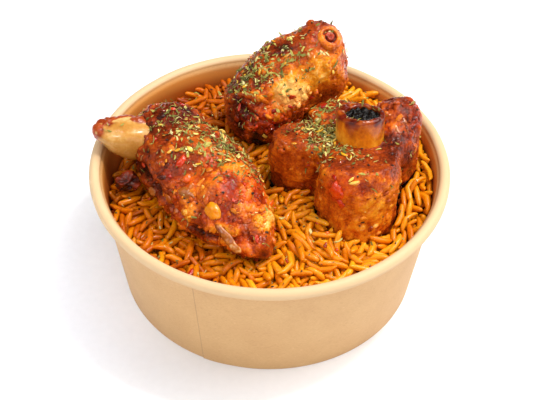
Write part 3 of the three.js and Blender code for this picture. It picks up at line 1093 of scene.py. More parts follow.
def right_bone():
    """Up the outside, over the rim, down the bore and back across the foot. The bore is off centre
    by HOLE_SHIFT, and the rim is chipped by about half a millimetre. The shape is a ring, so its
    rows join up without poles."""
    sides = 160
    outer = line((BONE_R, -BONE_LENGTH), (BONE_R, -1.2), 60)
    rim = arc(BONE_R - 1.2, -1.2, 1.2, 0, math.pi / 2, 8)
    flat = line((BONE_R - 1.4, 0.0), (HOLE_R + 0.8, 0.0), 8)
    lip = arc(HOLE_R + 0.8, -0.8, 0.8, math.pi / 2, math.pi / 2, 7)
    bore = line((HOLE_R, -1.2), (HOLE_R, -BONE_LENGTH), 40)
    foot = line((HOLE_R, -BONE_LENGTH), (BONE_R, -BONE_LENGTH), 5)
    profile = np.concatenate([outer, rim, flat, lip, bore, foot[1:]])
    grid = turned_rows(profile, np.linspace(0, 2 * math.pi, sides, endpoint=False))
    inside = smoothstep(-np.hypot(grid[..., 0], grid[..., 1]), -(BONE_R - 0.6), -(HOLE_R + 0.4))
    grid[..., 0] += HOLE_SHIFT * inside
    near_top = smoothstep(grid[..., 2], -3.5, -0.5)
    even = grid.reshape(-1, 3)
    rough = (0.4 * fractal(even, 2.2, 3, 111) + 0.4 * noise(even, 6, 112)).reshape(near_top.shape)
    grid[..., 2] += near_top * (rough - 0.1)
    swell = 1 + 0.012 * noise(even * [1, 1, 0.3], 7, 113).reshape(near_top.shape) * (1 - inside)
    grid[..., :2] *= swell[..., None]
    points = grid.reshape(-1, 3)
    tone = 0.56 + 0.22 * fractal(points * [1, 1, 0.4], 4, 3, 114) + 0.3 * smoothstep(-points[:, 2], 4, 9)
    tone += 0.12 * smoothstep(-points[:, 0], 0, 10) - 0.25 * smoothstep(points[:, 2], -4.5, -1.0)
    red = 0.2 + 0.3 * smoothstep(points[:, 2], -5.0, -0.5) + 0.35 * fractal(points, 3, 2, 115)
    out = points @ np.stack([*square_to(bone_up), bone_up]) + bone_top
    quads = turned_faces(len(profile), sides)
    keep_skin("right_bone", out, (quads, np.zeros((0, 3), int)))
    return mesh_object("sawn_marrow_bone", out, quads, (), {"tone": tone, "red": red})


def right_marrow():
    """A plug whose top is heaped with black grains 1 to 2 mm across."""
    r = HOLE_R - 0.3
    profile = np.concatenate(
        [
            [(0, -BONE_LENGTH)],
            line((r * 0.1, -BONE_LENGTH), (r, -BONE_LENGTH), 6),
            line((r, -BONE_LENGTH), (r, -MARROW_SUNK), 14),
            line((r, -MARROW_SUNK), (0.1, -MARROW_SUNK), 46),
            [(0, -MARROW_SUNK)],
        ]
    )

    def grains(p, n):
        heaped = 1.3 * pebbles(p, 1.7, 121) + 0.6 * pebbles(p, 0.9, 122)
        return smoothstep(n[:, 2], 0.5, 0.9) * (heaped - 0.8 + 0.4 * fractal(p, 5, 2, 123))

    def numbers(p, height):
        # painted shade and light: darker between the grains, lighter on their tops
        return {"tone": 0.5 * height}

    middle = bone_top + np.array([HOLE_SHIFT, 0, 0])
    return turned_piece("cooked_marrow", profile, 150, bone_up, middle, grains, numbers)


def back_knuckle():
    """A rod with a rounded rim. Its end is hollowed by a spiral groove, whose radius grows by 1.3 mm
    in one turn, round a low button."""
    r = KNUCKLE_R
    profile = np.concatenate(
        [
            [(0, -KNUCKLE_LENGTH)],
            line((0.4, -KNUCKLE_LENGTH), (r - 0.6, -KNUCKLE_LENGTH), 5),
            line((r - 0.6, -KNUCKLE_LENGTH), (r, -1.5), 26),
            arc(r - 1.5, -1.5, 1.5, 0, math.pi / 2, 14),
            line((r - 1.6, 0), (0.1, 0), 30),
            [(0, 0)],
        ]
    )

    def relief(p, n):
        reach = np.hypot(p[:, 0], p[:, 1])
        spiral = 1.75 + 1.3 * (np.arctan2(p[:, 1], p[:, 0]) + math.pi) / (2 * math.pi)
        groove = np.exp(-(((reach - spiral) / 0.5) ** 2)) * smoothstep(n[:, 2], 0.3, 0.8)
        dimple = np.exp(-((reach / 0.8) ** 2)) * (n[:, 2] > 0.5)
        return -1.3 * groove - 0.5 * dimple + 0.16 * fractal(p, 2.5, 3, 131)

    def numbers(p, height):
        reach = np.hypot(p[:, 0], p[:, 1])
        end = smoothstep(p[:, 2], -2.5, -0.5)
        # painted shade and light: darker in the spiral groove, lighter on its ridges
        tone = 0.6 + 0.28 * height + 0.1 * fractal(p, 3, 2, 132)
        tone -= 0.22 * end * smoothstep(-reach, -3.2, -2.2)
        red = 0.2 + 0.6 * end * smoothstep(-reach, -3.4, -2.4)
        return {"tone": tone, "red": red, "wet": np.full(len(p), 0.9)}

    low, high = box("back_knuckle")
    middle = (low + high) / 2 + KNUCKLE_UP * (KNUCKLE_LENGTH / 2 + KNUCKLE_PROUD)
    return turned_piece("skin_knuckle", profile, 110, KNUCKLE_UP, middle, relief, numbers)


def scrap():
    """A torn shred of meat: one lobe with deep folds."""
    low, high = box("scrap")
    middle = (low + high) / 2
    solids["scrap"] = joined([lobe(middle, (5, 3.6, 3.6), 20, square=2.5)], 1)
    rings, sides = 60, 70
    points = ray_grid((middle - [2.5, 1, 0], middle + [2.5, 1, 0]), 3, solids["scrap"], sides, rings)

    def relief(p, n):
        return 2.1 * fractal(p * [0.6, 1, 1.3], 3.2, 3, 141) + 0.4 * pebbles(p, 1.8, 142)

    points, bump = sculpt(points, rings, sides, relief)
    even = np.ones(len(points))
    # painted shade and light: darker in the folds, lighter on the crests
    numbers = {"tone": 0.14 + 0.14 * bump, "red": 0.5 * even, "wet": even}
    return mesh_object("meat_scrap", points, *closed_faces(rings, sides), numbers)


# %% [markdown]
# Cooked bone is ivory with a thin yellow film of fat, and takes up red sauce wherever the surface
# is open, as on a sawn rim. Marrow that has boiled and dried is nearly black, but each wet grain
# keeps one tiny bright point.

# %% Bone and marrow finish
def cooked_bone(name, stops):
    """Ivory or ochre along tone, stained where red is high, polished by fat."""
    material, tree, shader = new_material(
        name,
        Roughness=0.36,
        Specular_IOR_Level=0.2,
        Subsurface_Weight=0.15,
        Subsurface_Scale=0.001,
        Coat_Weight=0.5,
        Coat_Roughness=0.15,
    )
    pores = texture(tree, 900.0, 3.0)  # pores and patches of fat, about 1 mm across
    level = swayed(tree, point_number(tree, "tone"), pores, 0.4)
    base = colour_ramp(tree, level, stops)
    stain = colour_ramp(tree, level, [(0.1, "#300401"), (0.6, "#741703"), (1.0, "#b04208")])
    amount = spread_over(tree, point_number(tree, "red"), 0.3, 0.65, 0.95)
    tree.links.new(blend_colours(tree, amount, base, stain), shader.inputs["Base Color"])
    tree.links.new(bumps(tree, pores, 0.2, 0.0003), shader.inputs["Normal"])
    return material


def black_marrow():
    """Black, wet and granular: almost no colour, and smooth enough for glints."""
    material, tree, shader = new_material("black_marrow", Roughness=0.3, Specular_IOR_Level=0.3)
    stops = [(0.0, "#030202"), (0.5, "#0c0705"), (1.0, "#20140e")]
    colour = colour_ramp(tree, point_number(tree, "tone"), stops)
    tree.links.new(colour, shader.inputs["Base Color"])
    return material


ivory_tones = [(0.0, "#8a440a"), (0.4, "#ac6c1a"), (0.75, "#c68f42"), (1.0, "#e0bc7c")]
ochre_tones = [(0.0, "#561802"), (0.4, "#a04004"), (0.75, "#d87808"), (1.0, "#f0a42a")]
ivory = cooked_bone("ivory_bone", ivory_tones)
ochre_bone = cooked_bone("stained_bone", ochre_tones)
finish_piece(left_bone(), ivory, "bone", "left_bone")
finish_piece(right_bone(), ochre_bone, "bone", "right_bone")
finish_piece(right_marrow(), black_marrow(), "marrow", "right_marrow")
finish_piece(back_knuckle(), meat_finish, "meat", "back_knuckle")
finish_piece(scrap(), meat_finish, "meat", "scrap")

# %% [markdown]
# ## The rice heap
#
# Boiled long-grain rice takes the shape of the bowl below and is loose on top. Only the top
# layers can be seen, so the heap is a solid core, and about thirteen hundred real grains lie on
# it. Cooked grains stick to their neighbours side by side, so the way they point changes slowly
# over the heap, with a random turn added for each grain.

# %% Rice core
RICE_FLOOR = box("rice")[0][2]
RICE_EDGE = 42.0  # height at which the bowl's width is measured for the heap
CORE_DEPTH = 8.0  # millimetres from the heap's surface down to the core
CORE_GAP = 0.4  # between the core and the wall


def heap(x, y):
    """The heap's height: a level of 42.5 mm with a faint swell, a mound under the right piece, and
    slopes up to the back right, to the right and to the front."""
    swell = 0.9 * np.sin(0.13 * x + 0.9) * np.cos(0.11 * y - 0.4)
    mound = 6 * np.exp(-((x - 14) ** 2 + (y + 32) ** 2) / 650)
    back = 13 * smoothstep(0.6 * x + 0.8 * y, -20, 80)
    right = 2.5 * smoothstep(x, 35, 65)
    return 42.5 + swell + mound + back + right + 2.5 * smoothstep(-y, 20, 70)


def inner_r(z):
    """The bowl's inner radius at height z."""
    return wall_r(z) - BOARD


def rice_core():
    """A closed grid: the top from its centre to the wall, lumpy with 3 mm pebbles, then down the
    wall and across the bottom."""
    top_rows, side_rows, low_rows, sides = 90, 14, 12, 260
    a = np.linspace(0, 2 * math.pi, sides, endpoint=False)[None]
    out = (np.arange(1, top_rows + 1) / top_rows)[:, None] * (inner_r(RICE_EDGE) - CORE_GAP)
    x, y = out * np.cos(a), out * np.sin(a)
    top = np.stack([x, y, heap(x, y) - CORE_DEPTH], -1)
    top[..., 2] += 1.3 * pebbles(top, 3.2, 91) + 1.0 * fractal(top, 9, 2, 92)
    drop = (np.arange(1, side_rows + 1) / side_rows)[:, None]
    height = top[-1, :, 2] * (1 - drop) + RICE_FLOOR * drop
    r = inner_r(height) - CORE_GAP
    side = np.stack([r * np.cos(a), r * np.sin(a), height], -1)
    r = r[-1] * (1 - np.arange(1, low_rows + 1) / (low_rows + 1))[:, None]
    bottom = np.stack([r * np.cos(a), r * np.sin(a), np.full((low_rows, sides), RICE_FLOOR)], -1)
    rows = [part.reshape(-1, 3) for part in (top, side, bottom)]
    ends = [[0, 0, heap(0, 0) - CORE_DEPTH]], [[0, 0, RICE_FLOOR]]
    quads, triangles = closed_faces(top_rows + side_rows + low_rows, sides)
    points = np.concatenate([ends[0], *rows, ends[1]])
    return mesh_object("rice_core", points, quads[:, ::-1], triangles[:, ::-1])


# %% [markdown]
# The grains are laid by letting them settle. Each grain is a stiff, slightly bent row of five
# beads. In every round all grains sink a little, and any two beads that overlap push their
# grains apart and turn them. The core, the wall and the meat push back in the same way. After a
# few hundred rounds the grains rest on each other as real ones do.

# %% Settling grains
BEADS = 5  # in each grain
BEAD_R = 1.3
GRAIN_R = 1.34
ROUNDS = 260
SINK = 0.16  # millimetres a round, until the last quarter of the rounds
FIELD_STEP = 1.5
FIELD_LOW, FIELD_HIGH = (-72.0, -72.0, 28.0), (72.0, 72.0, 82.0)


def meat_field():
    """The distance to the meat, and which way it grows, on a lattice round the top of the heap."""
    axes = [np.arange(low, high + 0.1, FIELD_STEP) for low, high in zip(FIELD_LOW, FIELD_HIGH)]
    points = np.stack(np.meshgrid(*axes, indexing="ij"), -1)
    depth = np.min([solid(points) for solid in solids.values()], axis=0)
    slope = np.stack(np.gradient(depth, FIELD_STEP), -1)
    slope /= np.linalg.norm(slope, axis=-1, keepdims=True) + 1e-9
    return np.concatenate([depth[..., None], slope], -1)


def read_field(field, points):
    """Reads the lattice at points between its corners, each corner weighted by its nearness."""
    p = np.clip((points - FIELD_LOW) / FIELD_STEP, 0, np.array(field.shape[:3]) - 1.001)
    cell = p.astype(int)
    t = p - cell
    total = 0
    for corner in np.ndindex(2, 2, 2):
        weight = np.prod(np.where(corner, t, 1 - t), -1)
        total = total + weight[:, None] * field[tuple((cell + corner).T)]
    return total[:, 0], total[:, 1:]


def near_pairs(places, owner, reach):
    """Pairs of beads of different grains closer than reach. Space is cut into cells of that size,
    the beads are sorted by cell, and each bead is compared with the cells round its own."""
    cell = np.floor(places / reach).astype(np.int64)
    cell -= cell.min(0) - 1
    wide = cell.max(0) + 2
    key = (cell[:, 0] * wide[1] + cell[:, 1]) * wide[2] + cell[:, 2]
    order = np.argsort(key, kind="stable")
    ranked = key[order]
    firsts, seconds = [], []
    for dx, dy in np.ndindex(3, 3):
        there = key + ((dx - 1) * wide[1] + dy - 1) * wide[2]
        start = np.searchsorted(ranked, there - 1, "left")
        count = np.searchsorted(ranked, there + 1, "right") - start
        first = np.repeat(np.arange(len(key)), count)
        within = np.arange(len(first)) - np.repeat(np.cumsum(count) - count, count)
        firsts.append(first)
        seconds.append(order[np.repeat(start, count) + within])
    first, second = np.concatenate(firsts), np.concatenate(seconds)
    keep = (first < second) & (owner[first] != owner[second])
    first, second = first[keep], second[keep]
    close = ((places[first] - places[second]) ** 2).sum(-1) < reach**2
    return first[close], second[close]


def small_turn(spin):
    """The rotation by the vector spin: I + sin(a) K + (1 - cos(a)) K K, K being the cross product
    with its unit axis."""
    angle = np.linalg.norm(spin, axis=-1)[:, None, None] + 1e-12
    k = np.zeros((len(spin), 3, 3))
    k[:, 0, 1], k[:, 0, 2], k[:, 1, 2] = -spin[:, 2], spin[:, 1], -spin[:, 0]
    k = (k - k.transpose(0, 2, 1)) / angle
    return np.eye(3) + np.sin(angle) * k + (1 - np.cos(angle)) * (k @ k)


def settle(middle, turn, beads):
    """Moves and turns the grains until they rest. A bead's push is the mean of half its overlaps,
    and a grain moves by the mean of its beads' pushes and turns by their mean moment."""
    count = len(middle)
    owner = np.repeat(np.arange(count), BEADS)
    field = meat_field()
    inertia = (beads**2).sum((1, 2)) + BEAD_R**2
    for k in range(ROUNDS):
        arms = np.einsum("nij,nbj->nbi", turn, beads)
        places = (middle[:, None] + arms).reshape(-1, 3)
        if k % 5 == 0:
            first, second = near_pairs(places, owner, 2 * BEAD_R + 1.0)
        gap = places[second] - places[first]
        reach = np.linalg.norm(gap, axis=-1) + 1e-9
        hit = reach < 2 * BEAD_R
        shove = gap[hit] * ((2 * BEAD_R - reach[hit]) / (2 * reach[hit]))[:, None]
        a, b = first[hit], second[hit]
        pushes = [
            np.bincount(b, shove[:, i], len(places)) - np.bincount(a, shove[:, i], len(places))
            for i in range(3)
        ]
        push = np.stack(pushes, -1)
        touches = np.bincount(a, minlength=len(places)) + np.bincount(b, minlength=len(places))
        push /= np.maximum(touches, 1)[:, None]
        under = heap(places[:, 0], places[:, 1]) - CORE_DEPTH + 1.0 + BEAD_R - places[:, 2]
        push[:, 2] += np.maximum(under, 0)
        r = np.hypot(places[:, 0], places[:, 1])
        beyond = np.maximum(r - inner_r(places[:, 2]) + BEAD_R + 0.2, 0)
        push[:, :2] -= places[:, :2] * (beyond / r)[:, None]
        depth, slope = read_field(field, places)
        push += slope * np.maximum(BEAD_R + 0.5 - depth, 0)[:, None]
        push = push.reshape(count, BEADS, 3)
        middle = middle + 1.5 * push.mean(1)
        moment = np.cross(arms, push).sum(1) / inertia[:, None]
        turn = small_turn(1.3 * moment) @ turn
        if k < 0.75 * ROUNDS:
            middle[:, 2] -= SINK
    left, _, right = np.linalg.svd(turn)
    return middle, left @ right


def grain_ways(middle, random):
    """The way each grain points. Its heading comes from slow noise, so that neighbours lie side
    by side, with a random turn on top. At the right of the bowl many lean up towards the
    diner."""
    heading = 2.4 * fractal(middle * [1, 1, 0], 30, 2, 95) + 0.7 * random.standard_normal(len(middle))
    heading += 0.3 + 1.1 * smoothstep(middle[:, 0], 30, 55)
    pitch = 0.32 * random.standard_normal(len(middle))
    pitch = pitch + 0.5 * smoothstep(middle[:, 0], 35, 60) * random.random(len(middle))
    roll = 2 * math.pi * random.random(len(middle))
    ch, sh, cp, sp = np.cos(heading), np.sin(heading), np.cos(pitch), np.sin(pitch)
    zero = np.zeros_like(ch)
    along = np.stack([ch * cp, sh * cp, -sp], -1)
    side = np.stack([-sh, ch, zero], -1)
    up = np.cross(along, side)
    across = np.cos(roll)[:, None] * side + np.sin(roll)[:, None] * up
    return np.stack([along, across, np.cross(along, across)], -1)


GOLDEN_ANGLE = 2.399963  # radians


def lay_grains():
    """Grains start in four layers above the core, spaced evenly by a golden-angle spiral, and
    those that would start inside the meat are left out."""
    random = np.random.default_rng(41)
    per_layer, layers = 450, 4
    k = np.tile(np.arange(per_layer), layers)
    layer = np.repeat(np.arange(layers), per_layer)
    out = np.sqrt((k + 0.5) / per_layer) * (inner_r(RICE_EDGE) - 3.5)
    angle = k * GOLDEN_ANGLE + layer * 1.7
    x, y = out * np.cos(angle), out * np.sin(angle)
    x = x + random.normal(0, 0.8, len(x))
    y = y + random.normal(0, 0.8, len(x))
    middle = np.stack([x, y, heap(x, y) - CORE_DEPTH + 3.0 + 2.6 * layer], -1)
    depth = np.min([solid(middle) for solid in solids.values()], axis=0)
    middle = middle[depth > -0.5]
    count = len(middle)
    length = np.clip(random.normal(11.4, 1.6, count), 7.5, 14.5)
    broken = random.random(count) < 0.12 + 0.25 * smoothstep(middle[:, 0], 35, 55)
    length[broken] = random.uniform(3.2, 5.5, broken.sum())
    bend = random.uniform(0.1, 1.7, count) * (length / 9) ** 2
    s = np.linspace(-1, 1, BEADS)
    beads = np.zeros((count, BEADS, 3))
    beads[..., 0] = s * (length[:, None] / 2 - BEAD_R)
    beads[..., 1] = bend[:, None] * (0.5 - s**2)
    middle, turn = settle(middle, grain_ways(middle, random), beads)
    return middle, turn, length, bend, random


def rice_grains(middle, turn, length, bend, random):
    """Each grain is a bent rod of 7 rings with 8 points. Its ends are round caps, 1.7 radii
    long, with rings at 12%, 50% and all of the cap from the tip. It is a little uneven."""
    rings, sides = 7, 8
    count = len(middle)
    a = np.linspace(0, 2 * math.pi, sides, endpoint=False)
    thick = GRAIN_R * random.uniform(0.88, 1.1, count)
    cap = np.minimum(1.7 * thick, 0.45 * length)
    ends = length[:, None] / 2 - cap[:, None] * np.array([0.12, 0.5, 1.0])
    x = np.concatenate([-ends, np.zeros((count, 1)), ends[:, ::-1]], 1)
    full = np.array([0.46, 0.8, 0.94, 1.06, 0.94, 0.8, 0.46])
    radius = thick[:, None] * full * random.uniform(0.93, 1.07, (count, rings))
    y = bend[:, None] * (0.5 - (2 * x / length[:, None]) ** 2)
    body = np.stack(
        [
            np.repeat(x[..., None], sides, -1),
            y[..., None] + radius[..., None] * np.cos(a),
            0.92 * radius[..., None] * np.sin(a),
        ],
        -1,
    ).reshape(count, -1, 3)
    tips = np.stack([np.stack([s * length / 2, -0.5 * bend, 0 * bend], -1) for s in (-1, 1)], 1)
    local = np.concatenate([tips[:, :1], body, tips[:, 1:]], 1)
    points = (np.einsum("nij,nvj->nvi", turn, local) + middle[:, None]).reshape(-1, 3)
    # painted light and shade: grains brighter towards the lit right, darker at the back left in the shade
    # behind the left piece
    tone = 0.44 + 0.12 * random.standard_normal(count) + 0.34 * smoothstep(middle[:, 0], -45, 50)
    tone -= 0.2 * smoothstep(middle[:, 1], 10, 45) * (1 - smoothstep(middle[:, 0], 0, 30))
    tone = np.repeat(tone, local.shape[1]) + 0.12 * fractal(points, 14, 2, 96)
    print(f"{count} grains, {length.mean():.1f} mm long on average")
    return mesh_object("rice_grains", points, *copied_faces(rings, sides, count), {"tone": tone})


# %% [markdown]
# The grains took their orange from tomato, pepper and palm oil. A thin film of oil gives each
# one a soft, bright line, and light passes a little way into the starch, so the grains glow at
# their edges. Between them it is dark red-brown, because light that goes in there is coloured
# again at every bounce; the core under the grains is painted that dark red-brown as shade.

# %% Rice finish
def jollof_rice(name, stops, glow):
    """Oily starch: a ramp along tone with 0.4 mm specks of pepper."""
    material, tree, shader = new_material(
        name,
        Roughness=0.38,
        Specular_IOR_Level=0.18,
        Subsurface_Weight=glow,
        Subsurface_Scale=0.0012,
        Subsurface_Radius=(1.0, 0.45, 0.1),
        Coat_Weight=0.3,
        Coat_Roughness=0.15,
    )
    cloud = texture(tree, 500.0, 2.0)
    level = swayed(tree, point_number(tree, "tone"), cloud, 0.4)
    speck = spread_over(tree, texture(tree, 2300.0, 1.0), 0.69, 0.73, 0.75)
    colour = blend_colours(tree, speck, colour_ramp(tree, level, stops), srgb("#5a2408"))
    tree.links.new(colour, shader.inputs["Base Color"])
    tree.links.new(bumps(tree, cloud, 0.25, 0.0004), shader.inputs["Normal"])
    return material


grain_tones = [(0.0, "#963c00"), (0.3, "#c86200"), (0.6, "#e08200"), (1.0, "#f6ac1a")]
grain_finish = jollof_rice("jollof_rice", grain_tones, 0.2)
# painted shade: the core below the grains is dark red-brown, standing for the shade deep in the heap
painted_core_shade = jollof_rice("jollof_rice_shade", [(0.0, "#220801"), (1.0, "#561e02")], 0.0)
finish_piece(rice_core(), painted_core_shade, "rice", "rice")
laid = lay_grains()
finish_piece(rice_grains(*laid), grain_finish, "rice", "rice")

# %% [markdown]
# ## What is scattered on top
#
# The cook threw on dried herbs, pepper flakes and ground black pepper, and the stew left its own
# bits on the meat: clots of pulp, bits of red pepper, soft onion and strips of tendon. Every
# kind is one mesh. A small closed shape is copied to random points of a surface, where a density
# says how likely each spot is, and every copy gets its own size, turn, bend and colour.

# %% Scattering
def pick_points(name, count, weight, random):
    """Random points of a kept surface, their normals and the numbers kept there. A triangle is
    drawn with a chance of its area times weight(middle, normal), and a point is drawn evenly
    inside it."""
    points, faces, numbers = skins[name]
    a, b, c = (points[faces[:, k]] for k in range(3))
    normal = np.cross(b - a, c - a)
    area = np.linalg.norm(normal, axis=1) + 1e-12
    normal /= area[:, None]
    chance = area * np.maximum(weight((a + b + c) / 3, normal), 0)
    pick = random.choice(len(faces), count, p=chance / chance.sum())
    u, v = random.random((2, count, 1))
    u, v = np.where(u + v > 1, 1 - u, u), np.where(u + v > 1, 1 - v, v)
    there = {key: values[faces[pick, 0]] for key, values in numbers.items()}
    return a[pick] + u * (b[pick] - a[pick]) + v * (c[pick] - a[pick]), normal[pick], there


def on_skin(name, places):
    """The points of a kept surface nearest to places, and the outward normals there."""
    points, faces, _ = skins[name]
    nearest = [int(np.argmin(((points - place) ** 2).sum(1))) for place in np.atleast_2d(places)]
    a, b, c = (points[faces[:, k]] for k in range(3))
    normal = np.cross(b - a, c - a)
    summed = [normal[(faces == k).any(1)].sum(0) for k in nearest]
    return points[nearest], np.array([n / np.linalg.norm(n) for n in summed])


def small_shapes(
    places, normals, sizes, random, rings=1, sides=7, tilt=0.3, curl=0.0, ragged=0.2, heading=None
):
    """A ball of a few points, copied to each place and scaled to half sizes along, across and up.
    Up is the surface normal, tipped by about tilt radians. curl bends the ends, as a share of the
    length, and ragged moves each point in or out by that share. Gives the points, the faces and
    the number of points in each copy."""
    count = len(places)
    polar = np.linspace(0, math.pi, rings + 2)[1:-1, None]
    a = np.linspace(0, 2 * math.pi, sides, endpoint=False)
    rows = turned_rows(np.hstack([np.sin(polar), -np.cos(polar)]), a).reshape(-1, 3)
    ball = np.concatenate([[[0, 0, -1]], rows, [[0, 0, 1]]])
    uneven = random.standard_normal((count, len(ball), 1)).clip(-2, 2)
    local = ball * sizes[:, None] * (1 + ragged * uneven)
    local[..., 2] += curl * random.standard_normal((count, 1)) * (local[..., 0] ** 2) / sizes[:, :1]
    up = normals + tilt * random.standard_normal((count, 3))
    up /= np.linalg.norm(up, axis=1, keepdims=True)
    way = random.standard_normal((count, 3)) if heading is None else heading
    side = np.cross(up, way)
    side /= np.linalg.norm(side, axis=1, keepdims=True)
    turn = np.stack([np.cross(side, up), side, up], -1)
    points = np.einsum("nij,nvj->nvi", turn, local) + places[:, None]
    return points.reshape(-1, 3), copied_faces(rings, sides, count), len(ball)


def on_grains(count, lift, random):
    """Places lift millimetres above the middles of count grains of the top layer, facing up."""
    few = top_grains[random.choice(len(top_grains), count, replace=False)]
    return few + [0, 0, lift], np.tile([0, 0, 1.0], (count, 1))


def gathered(found):
    """The places and the normals of several finds, each joined into one array."""
    return [np.concatenate([find[k] for find in found]) for k in (0, 1)]


def merge(parts):
    """Joins (points, faces, numbers) parts into one set."""
    points, quads, triangles, count = [], [], [], 0
    for part_points, (part_quads, part_triangles), _ in parts:
        points.append(part_points)
        quads.append(part_quads + count)
        triangles.append(part_triangles + count)
        count += len(part_points)
    joined_numbers = {key: np.concatenate([part[2][key] for part in parts]) for key in parts[0][2]}
    return [np.concatenate(rows) for rows in (points, quads, triangles)] + [joined_numbers]


def upward(n):
    """1 for faces that look up, 0 for those that look down."""
    return smoothstep(n[:, 2], 0.0, 0.5)


grain_middles = laid[0]
heap_heights = heap(grain_middles[:, 0], grain_middles[:, 1])
top_grains = grain_middles[grain_middles[:, 2] > heap_heights - 1.5]
dice = np.random.default_rng(77)
print(f"{len(top_grains)} grains lie in the top layer")

# %% [markdown]
# The herbs lie thickest where the cook's hand passed: along the ridge of the left piece, down the
# left flank of the back one, and in the hollow of the right one beside its bone. Each density is
# a small amount everywhere plus bell curves round those places.

# %% Dried herbs
left_places = share(
    "left_meat", (0.67, 0.54, 0.91), (0.5, 0.66, 0.98), (0.83, 0.44, 0.79), (0.3, 0.8, 0.96)
)
back_places = share("back_meat", (0.21, 0.31, 0.66), (0.36, 0.36, 0.8), (0.5, 0.4, 0.85))
right_places = share(
    "right_meat", (0.3, 0.7, 0.8), (0.36, 0.5, 0.85), (0.48, 0.36, 0.88), (0.45, 0.9, 0.8)
)


def strewn(everywhere, places, reaches, amounts):
    """A density for faces that look up: everywhere, plus an amount within reach of each place."""
    stains = list(zip(places, reaches, amounts))
    return lambda p, n: upward(n) * (everywhere + paint(p, stains))


herb_left = strewn(0.05, left_places, (10, 12, 7, 12), (1, 0.9, 0.7, 0.25))
herb_back = strewn(0.2, back_places, (10, 9, 12), (1.1, 0.8, 0.25))
herb_right = strewn(0.03, right_places, (8, 8, 7, 8), (1.6, 1.3, 1, 0.7))


def near_rim(p, n):
    """1 on the sawn rim of the marrow bone, 0 from 2 mm below it."""
    return smoothstep(p @ bone_up, bone_top @ bone_up - 2, bone_top @ bone_up)


def herbs(random):
    """Crumbled leaves: thin, curled, 1 to 4 mm long, some of them thin stalks."""
    found = [
        pick_points("left", 700, herb_left, random),
        pick_points("back", 500, herb_back, random),
        pick_points("right", 950, herb_right, random),
        pick_points("right_bone", 14, near_rim, random),
        pick_points("left_bone", 10, lambda p, n: upward(n), random),
        on_grains(150, 1.5, random),
    ]
    places, normals = gathered(found)
    count = len(places)
    length = random.gamma(5, 0.21, count).clip(0.5, 2.1)
    stalk = random.random(count) < 0.42
    wide = np.where(stalk, 0.16, length * random.uniform(0.22, 0.48, count)).clip(0.14, 0.6)
    sizes = np.stack([length, wide, random.uniform(0.07, 0.14, count)], -1)
    places = places + normals * random.uniform(0.15, 0.75, count)[:, None]
    points, faces, each = small_shapes(places, normals, sizes, random, 1, 8, 0.35, 0.35, 0.24)
    tone = np.repeat(random.beta(1.5, 1.7, count), each)
    return mesh_object("dried_herbs", points, *faces, {"tone": tone}, smooth=False)


# %% [markdown]
# Small bits of the stew itself: pulp that has clotted into beads on the wet parts of the meat, so
# these look like a coarse, glossy gravel; and red pepper, yellow flakes, onion and black pepper.

# %% Clots, pepper, flakes and onion
def warp(points, apart, size, seed):
    """Three noises of lumps about size across, one along each axis. They are read apart
    millimetres from each other, so that they differ."""
    return np.stack([fractal(points + apart * k, size, 2, seed + k) for k in range(3)], -1)


def sauce_clots(random):
    """Beads of pulp, 0.6 to 3 mm across and up to twice as long, with the colours of the sauce."""
    tip, side_low, mid = share("left_meat", (0.8, 0.2, 0.7), (0.35, 0.35, 0.5), (0.5, 0.35, 0.75))
    foot, foot_right, fat = share("back_meat", (0.38, 0.06, 0.42), (0.62, 0.2, 0.5), (0.7, 0.36, 0.74))
    high, corner, low = share("right_meat", (0.88, 0.67, 0.97), (0.62, 0.08, 0.85), (0.65, 0.05, 0.45))

    def left(p, n):
        return 0.25 + paint(p, [(tip, 13, 1.3), (side_low, 14, 0.9), (mid, 9, 0.3)])

    def back(p, n):
        return 0.2 + paint(p, [(foot, 10, 2), (foot_right, 7, 1.6), (fat, 12, -0.4)])

    def right(p, n):
        return 0.2 + paint(p, [(high, 12, 1.3), (corner, 8, 0.5), (low, 9, 0.5)])

    found = [
        pick_points("left", 620, left, random),
        pick_points("back", 420, back, random),
        pick_points("right", 480, right, random),
    ]
    places, normals = gathered(found)
    count = len(places)
    r = random.gamma(3.5, 0.2, count).clip(0.3, 1.5)
    sizes = np.stack([r * random.uniform(1, 1.9, count), r, 0.6 * r], -1)
    sunk = places - 0.15 * normals
    points, faces, each = small_shapes(sunk, normals, sizes, random, 4, 8, 0.4, 0.1, 0.12)
    tone, red = (np.concatenate([find[2][key] for find in found]) for key in ("tone", "red"))
    tone = tone + 0.04 + 0.09 * random.standard_normal(count)
    red = red + 0.22 * random.standard_normal(count)
    numbers = {"tone": np.repeat(tone, each), "red": np.repeat(red, each), "wet": np.ones(len(points))}
    return mesh_object("sauce_clots", points, *faces, numbers)


